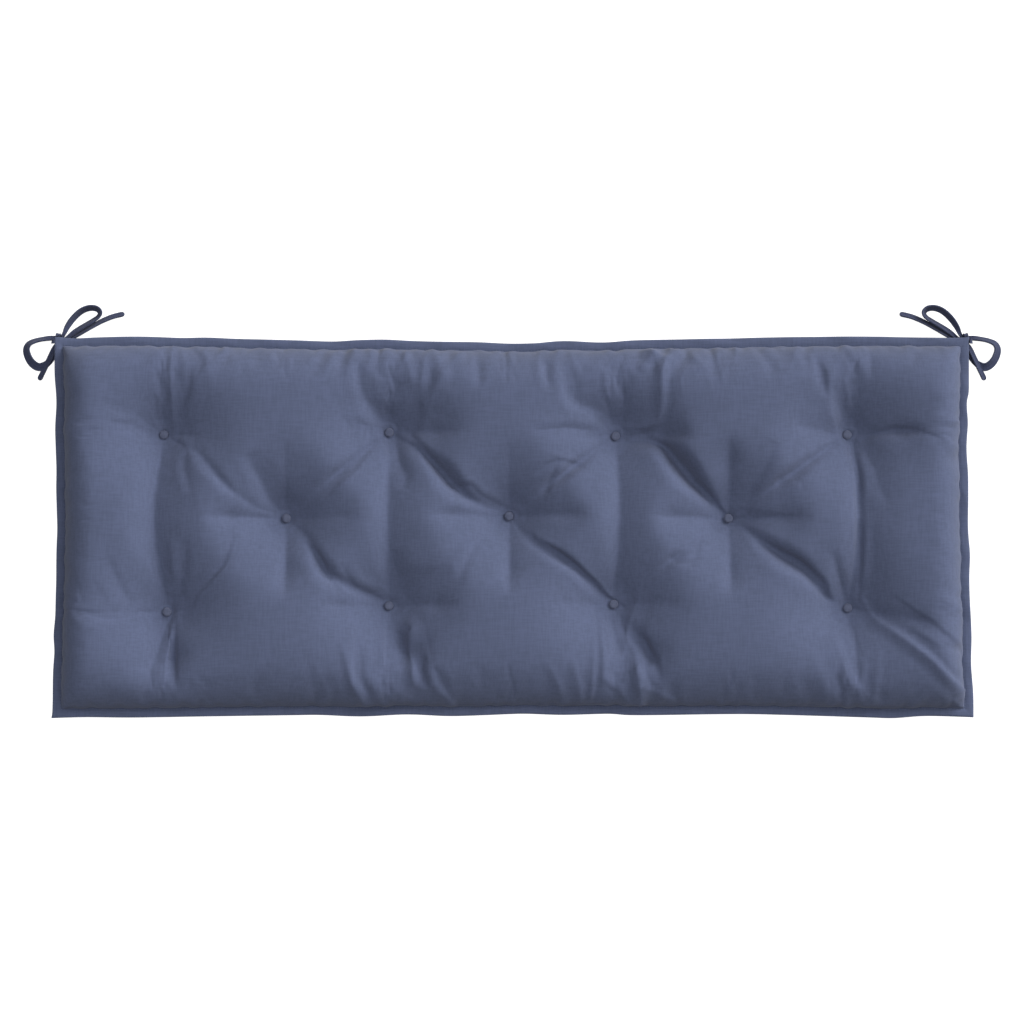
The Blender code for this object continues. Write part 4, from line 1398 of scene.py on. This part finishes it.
# Each tie of the left bow from its seam to its free end, from the knot: x, y, height, width, roll in degrees.
TIE_WITH_BACK_LOOP: tuple[tuple[float, ...], ...] = (
    (-6.4, -2.5, 21.5, 6.0, 0), (-8.6, -2.5, 20.0, 6.0, 0), (-9.8, -2.3, 16.5, 5.5, 0),
    (-9.2, -1.8, 11.8, 5.0, 0), (-6.5, -0.8, 9.0, 5.0, 0), (0.0, 1.6, 8.7, 5.0, 0),
    (4.6, 8.6, 8.9, 5.2, 0), (8.8, 18.4, 7.8, 8.0, 40), (15.9, 29.2, 6.6, 11.0, 58),
    (25.8, 38.8, 6.3, 11.6, 60), (36.3, 43.4, 6.2, 11.6, 60), (46.0, 43.0, 6.2, 11.6, 60),
    (51.4, 38.2, 6.2, 11.6, 60), (49.4, 32.2, 6.3, 11.6, 60), (41.4, 26.4, 6.5, 11.6, 58),
    (29.2, 19.0, 6.6, 10.4, 52), (18.6, 12.0, 6.5, 8.0, 34), (8.6, 4.0, 6.2, 5.2, 0),
    (0.0, -1.2, 6.15, 5.0, 0), (-7.0, -7.6, 6.4, 6.0, 8), (-12.6, -19.3, 6.6, 7.6, 30),
    (-18.4, -32.2, 6.6, 7.8, 30), (-23.6, -42.9, 5.4, 7.4, 24), (-28.2, -51.8, 3.2, 7.0, 18),
)  # fmt: skip
TIE_WITH_SIDE_LOOP: tuple[tuple[float, ...], ...] = (
    (-1.6, 4.4, 21.5, 6.0, 0), (-1.6, 6.0, 21.0, 6.0, 0), (-1.2, 7.6, 17.6, 5.5, 0),
    (-0.6, 6.8, 13.2, 5.0, 0), (0.9, 4.2, 11.2, 5.0, 0), (3.2, -1.4, 11.1, 5.0, 0),
    (6.2, -6.6, 9.0, 5.0, 0), (7.2, -8.6, 5.6, 5.0, 0), (5.4, -6.4, 2.5, 5.0, 0),
    (1.4, -1.4, 1.9, 5.0, 0), (-4.0, 3.8, 2.2, 5.4, 0), (-11.0, 4.0, 3.6, 6.6, 20),
    (-20.5, 2.8, 5.8, 9.4, 50), (-32.2, 0.4, 6.2, 10.8, 54), (-41.4, -3.8, 6.0, 11.8, 48),
    (-45.0, -11.0, 5.6, 12.0, 40), (-43.0, -20.4, 5.2, 12.0, 34), (-37.6, -29.2, 4.6, 12.0, 30),
    (-29.2, -34.4, 4.0, 11.4, 24), (-20.8, -31.8, 3.4, 9.6, 14), (-12.6, -24.8, 3.0, 7.6, 0),
    (-6.4, -15.6, 3.2, 6.2, -8), (-2.0, -6.6, 3.8, 5.0, 0), (3.0, -1.8, 3.9, 5.0, 0),
    (11.2, 3.0, 4.1, 6.6, -20), (24.2, 9.8, 5.0, 9.2, -46), (40.3, 19.0, 5.3, 9.6, -50),
    (53.5, 26.2, 5.1, 9.2, -46), (68.0, 32.4, 4.6, 8.2, -36), (83.6, 36.2, 4.0, 7.4, -30),
)  # fmt: skip


@dataclass
class Tie:
    """One flat tie of folded tape, thick where its edges are turned in and rounded off at its free end.

    Attributes:
        node: the solid that it stands for.
        rows: its route.
        bow: the corner that it hangs from.
        length: its real length, in metres.
        thickness: of the tape, in millimetres.
        hem: how far from the free end the tape is at its thickest, in millimetres.
        knot: where the knot lies from the middle of the cushion, in millimetres, for the right bow.
        steps: how many pieces each span of the route is cut into.
    """

    node: str
    rows: tuple[tuple[float, ...], ...]
    bow: Bow
    length: float
    thickness: float = 2.8
    hem: float = 8.0
    knot: Point = (594.0, 246.0)
    steps: int = 6

    def _across(self, places: list[Vector], rolls: list[float]) -> list[Vector]:
        """The direction across the tape at each place: level where it lies, carried on where it turns over.

        Args:
            places: the middle of the tape.
            rolls: how far it is rolled on to its edge, in degrees.

        Returns:
            One direction for each place.
        """
        found = []
        across = None
        for index, roll in enumerate(rolls):
            ahead = places[min(index + 1, len(places) - 1)] - places[max(index - 1, 0)]
            ahead.normalize()
            level = Vector((-ahead.y, ahead.x, 0))
            if across is None:
                across = level.normalized()
            if level.dot(across) < 0:
                level.negate()
            carried = (across - across.dot(ahead) * ahead).normalized()
            trust = float(smoothstep(np.array((level.length - 0.35) / 0.5)))
            across = carried.lerp(level.normalized(), trust) if level.length > 0 else carried
            across = (across - across.dot(ahead) * ahead).normalized()
            found.append(Matrix.Rotation(math.radians(roll), 3, ahead) @ across)
        return found

    @staticmethod
    def _section() -> list[Point]:
        """The tape's section: rounded edges, thick where the cloth is turned in, from -1 to 1 both ways."""
        upper = [(-0.97, 0.5), (-0.9, 0.95), (-0.78, 1.1), (-0.66, 0.85), (-0.52, 0.62), (-0.3, 0.6), (0.0, 0.6)]
        upper += [(-across, up) for across, up in upper[-2::-1]]
        return [(-1.0, 0.0), *upper, (1.0, 0.0), *[(across, -up) for across, up in upper[::-1]]]

    @staticmethod
    def _with_close_end(route: Array) -> Array:
        """Put rows close together at the free end, where the tape is rounded off."""
        ahead = route[-1, :3] - route[-3, :3]
        ahead /= np.linalg.norm(ahead)
        radius = route[-1, 3] / 2
        kept = route[np.linalg.norm(route[:, :3] - route[-1, :3], axis=1) > radius + 0.3]
        close = np.tile(route[-1], (7, 1))
        angles = np.radians((0.0, 20.0, 38.0, 54.0, 68.0, 80.0, 89.0))
        close[:, :3] -= ahead * (radius * (1 - np.sin(angles)))[:, None]
        return np.vstack([kept, close])

    def build(self, finish: bpy.types.Material) -> bpy.types.Object:
        """Make the tie and dress it.

        Args:
            finish: the tape's material.

        Returns:
            The tie.
        """
        side = self.bow.value
        route = self._with_close_end(smooth_path(self.rows, self.steps))
        places = [
            Vector((side * (self.knot[0] - x) * MM, (self.knot[1] + y) * MM, z * MM)) for x, y, z, _, _ in route
        ]
        acrosses = self._across(places, [-side * roll for *_, roll in route])
        section = self._section()
        ring = len(section)
        walked = 0.0
        points, lengths = [], []
        total = sum((after - before).length for before, after in zip(places, places[1:]))
        for index, (place, across, row) in enumerate(zip(places, acrosses, route)):
            if index:
                walked += (place - places[index - 1]).length
            ahead = (places[min(index + 1, len(places) - 1)] - places[max(index - 1, 0)]).normalized()
            up = ahead.cross(across)
            from_end = total - walked
            beyond = max(1 - from_end / (route[-1, 3] / 2 * MM), 0.0)
            rounding = math.sqrt(max(1 - beyond**2, 0.02))
            half = row[3] / 2 * MM * rounding
            thick = self.thickness / 2 * MM * rounding * (1.0 if from_end < self.hem * MM else 0.86)
            lengths.append(walked)
            points += [place + across * (wide * half) + up * (high * thick) for wide, high in section]
        faces = [
            (start + place, start + (place + 1) % ring, start + ring + (place + 1) % ring, start + ring + place)
            for start in range(0, ring * (len(places) - 1), ring)
            for place in range(ring)
        ]
        faces += [tuple(range(ring - 1, -1, -1)), tuple(range(len(points) - ring, len(points)))]
        tie = add_mesh(f"tape_{self.node}", points, faces)
        self._lay_weave(tie.data, section, lengths)
        make_active(tie)
        bpy.ops.object.mode_set(mode="EDIT")
        bpy.ops.mesh.select_all(action="SELECT")
        bpy.ops.mesh.normals_make_consistent(inside=False)
        bpy.ops.object.mode_set(mode="OBJECT")
        tie.data.shade_smooth()
        set_material(tie, finish)
        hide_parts(self.node)
        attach(tie, BODY)
        log.info("%s: %.3f m along its middle", self.node, total)
        return tie

    @staticmethod
    def _lay_weave(mesh: bpy.types.Mesh, section: list[Point], lengths: list[float]) -> None:
        """Give the tape a UV map in metres: across its width, and along its length.

        Args:
            mesh: the tape's mesh, ring after ring.
            section: its section.
            lengths: how far along each ring lies.
        """
        layer = mesh.uv_layers.new(name="weave")
        ring = len(section)
        for loop in mesh.loops:
            row, place = divmod(loop.vertex_index, ring)
            layer.data[loop.index].uv = (section[place][0] * 0.006, lengths[row])


# --------------------------------------------------------------------------------------------------------------
# Stitching
# --------------------------------------------------------------------------------------------------------------


@dataclass
class Stitching:
    """The topstitching round the flange, and the thread tacks behind the buttons.

    Attributes:
        cover: the cover that is sewn.
        stitch: from one needle hole to the next, in millimetres.
        seen: how much of a stitch shows between two holes.
        thread: how thick the thread is.
        proud: how far a stitch's middle stands above the cloth, as a share of that.
    """

    cover: Cover
    stitch: float = 4.2
    seen: float = 3.2
    thread: float = 0.6
    proud: float = 0.2

    def _model(self) -> bpy.types.Object:
        """Model one stitch along X: a short thread that dives into the cloth at both ends."""
        deselect_all()
        bpy.ops.mesh.primitive_cylinder_add(
            vertices=6, radius=self.thread / 2 * MM, depth=self.seen * MM, rotation=(0, math.pi / 2, 0)
        )
        thread = bpy.context.object
        bpy.ops.object.transform_apply(location=False, rotation=True, scale=False)
        bpy.ops.object.mode_set(mode="EDIT")
        for place in (-0.3, 0.0, 0.3):
            bpy.ops.mesh.select_all(action="SELECT")
            bpy.ops.mesh.bisect(plane_co=(place * self.seen * MM, 0, 0), plane_no=(1, 0, 0))
        bpy.ops.object.mode_set(mode="OBJECT")
        points = read_points(thread.data)
        share = np.abs(points[:, 0]) / (self.seen / 2 * MM)
        points[:, 2] -= 0.75 * self.thread * MM * share**2.5
        points[:, 1:] *= (1 - 0.45 * share**3)[:, None]
        write_points(thread.data, points)
        return thread

    def _line(self) -> list[tuple[Point, Point]]:
        """Where each stitch of the flange has its middle, and the direction that it runs in, on the flat cover."""
        inset = self.cover.flange_width - self.cover.stitch_inset
        half_x, half_y = self.cover.length / 2 - inset, self.cover.depth / 2 - inset
        corners = [(-half_x, -half_y), (half_x, -half_y), (half_x, half_y), (-half_x, half_y), (-half_x, -half_y)]
        found = []
        for (x0, y0), (x1, y1) in zip(corners, corners[1:]):
            span = math.hypot(x1 - x0, y1 - y0)
            count = round(span / self.stitch)
            way = ((x1 - x0) / span, (y1 - y0) / span)
            for place in range(count):
                along = (place + 0.5) / count
                found.append(((x0 + (x1 - x0) * along, y0 + (y1 - y0) * along), way))
        return found

    def _sewn(self, name: str, pattern: bpy.types.Object, places: list[Matrix]) -> bpy.types.Object:
        """Copy one stitch to many places and make them one piece.

        Args:
            name: the piece's name.
            pattern: the stitch.
            places: where each copy goes.

        Returns:
            The piece.
        """
        points = read_points(pattern.data)
        faces = [tuple(face.vertices) for face in pattern.data.polygons]
        all_points, all_faces = [], []
        for place in places:
            start = len(all_points)
            turn = np.array(place.to_3x3())
            all_points += (points @ turn.T + np.array(place.translation)).tolist()
            all_faces += [tuple(start + corner for corner in face) for face in faces]
        piece = add_mesh(name, all_points, all_faces)
        piece.data.shade_smooth()
        return piece

    def build(self) -> list[bpy.types.Object]:
        """Sew the flange, and tack the buttons behind.

        Returns:
            Both pieces.
        """
        pattern = self._model()
        finish = SewingThread().material()
        chance = np.random.default_rng(5)
        places = []
        for (x, y), way in self._line():
            ends = np.array([[x - way[0], x, x + way[0]], [y - way[1], y, y + way[1]]])
            there_x, there_y = self.cover.drawn_in(ends[0], ends[1])
            turn = math.atan2(there_y[2] - there_y[0], there_x[2] - there_x[0]) + chance.normal(0, 0.035)
            height = self.cover.top_height(ends[0][1:2], ends[1][1:2])[0]
            below = self.cover.back_height(ends[0][1:2], ends[1][1:2])[0]
            for z, roll in ((height + self.proud * self.thread, 0.0), (below - self.proud * self.thread, math.pi)):
                places.append(
                    Matrix.Translation((there_x[1] * MM, there_y[1] * MM, z * MM))
                    @ Matrix.Rotation(turn, 4, "Z")
                    @ Matrix.Rotation(roll, 4, "X")
                )
        topstitching = self._sewn("flange_topstitching", pattern, places)

        tacks = []
        for row in BUTTONS:
            for x, y in row:
                there_x, there_y = self.cover.drawn_in(np.array([x], dtype=float), np.array([y], dtype=float))
                height = self.cover.back_height(np.array([x], dtype=float), np.array([y], dtype=float))[0]
                for turn, drop in ((0.5, 0.3), (0.5 + math.pi / 2, 0.9)):
                    tacks.append(
                        Matrix.Translation((there_x[0] * MM, there_y[0] * MM, (height - drop) * MM))
                        @ Matrix.Rotation(turn + float(chance.normal(0, 0.2)), 4, "Z")
                        @ Matrix.Rotation(math.pi, 4, "X")
                        @ Matrix.Scale(1.7, 4)
                    )
        button_tacks = self._sewn("button_tacks", pattern, tacks)
        bpy.data.objects.remove(pattern, do_unlink=True)
        for piece in (topstitching, button_tacks):
            set_material(piece, finish)
            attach(piece, BODY)
            log.info("%s: %d faces", piece.name, len(piece.data.polygons))
        return [topstitching, button_tacks]


def main() -> None:
    """Dress the whole cushion."""
    logging.basicConfig(level=logging.INFO, format="%(name)s: %(message)s")
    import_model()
    Studio().build()

    # The tape's dark colour is painted shade.
    tape = SHADED_TIE_TAPE.material()
    for bow in Bow:
        word = bow.name.lower()
        Tie(f"tie_{word}_back_loop", TIE_WITH_BACK_LOOP, bow, length=0.222).build(tape)
        Tie(f"tie_{word}_side_loop", TIE_WITH_SIDE_LOOP, bow, length=0.264).build(tape)

    cover = Cover()
    cover.build()
    CoveredButtons().build()
    Stitching(cover).build()


if __name__ == "__main__":
    main()
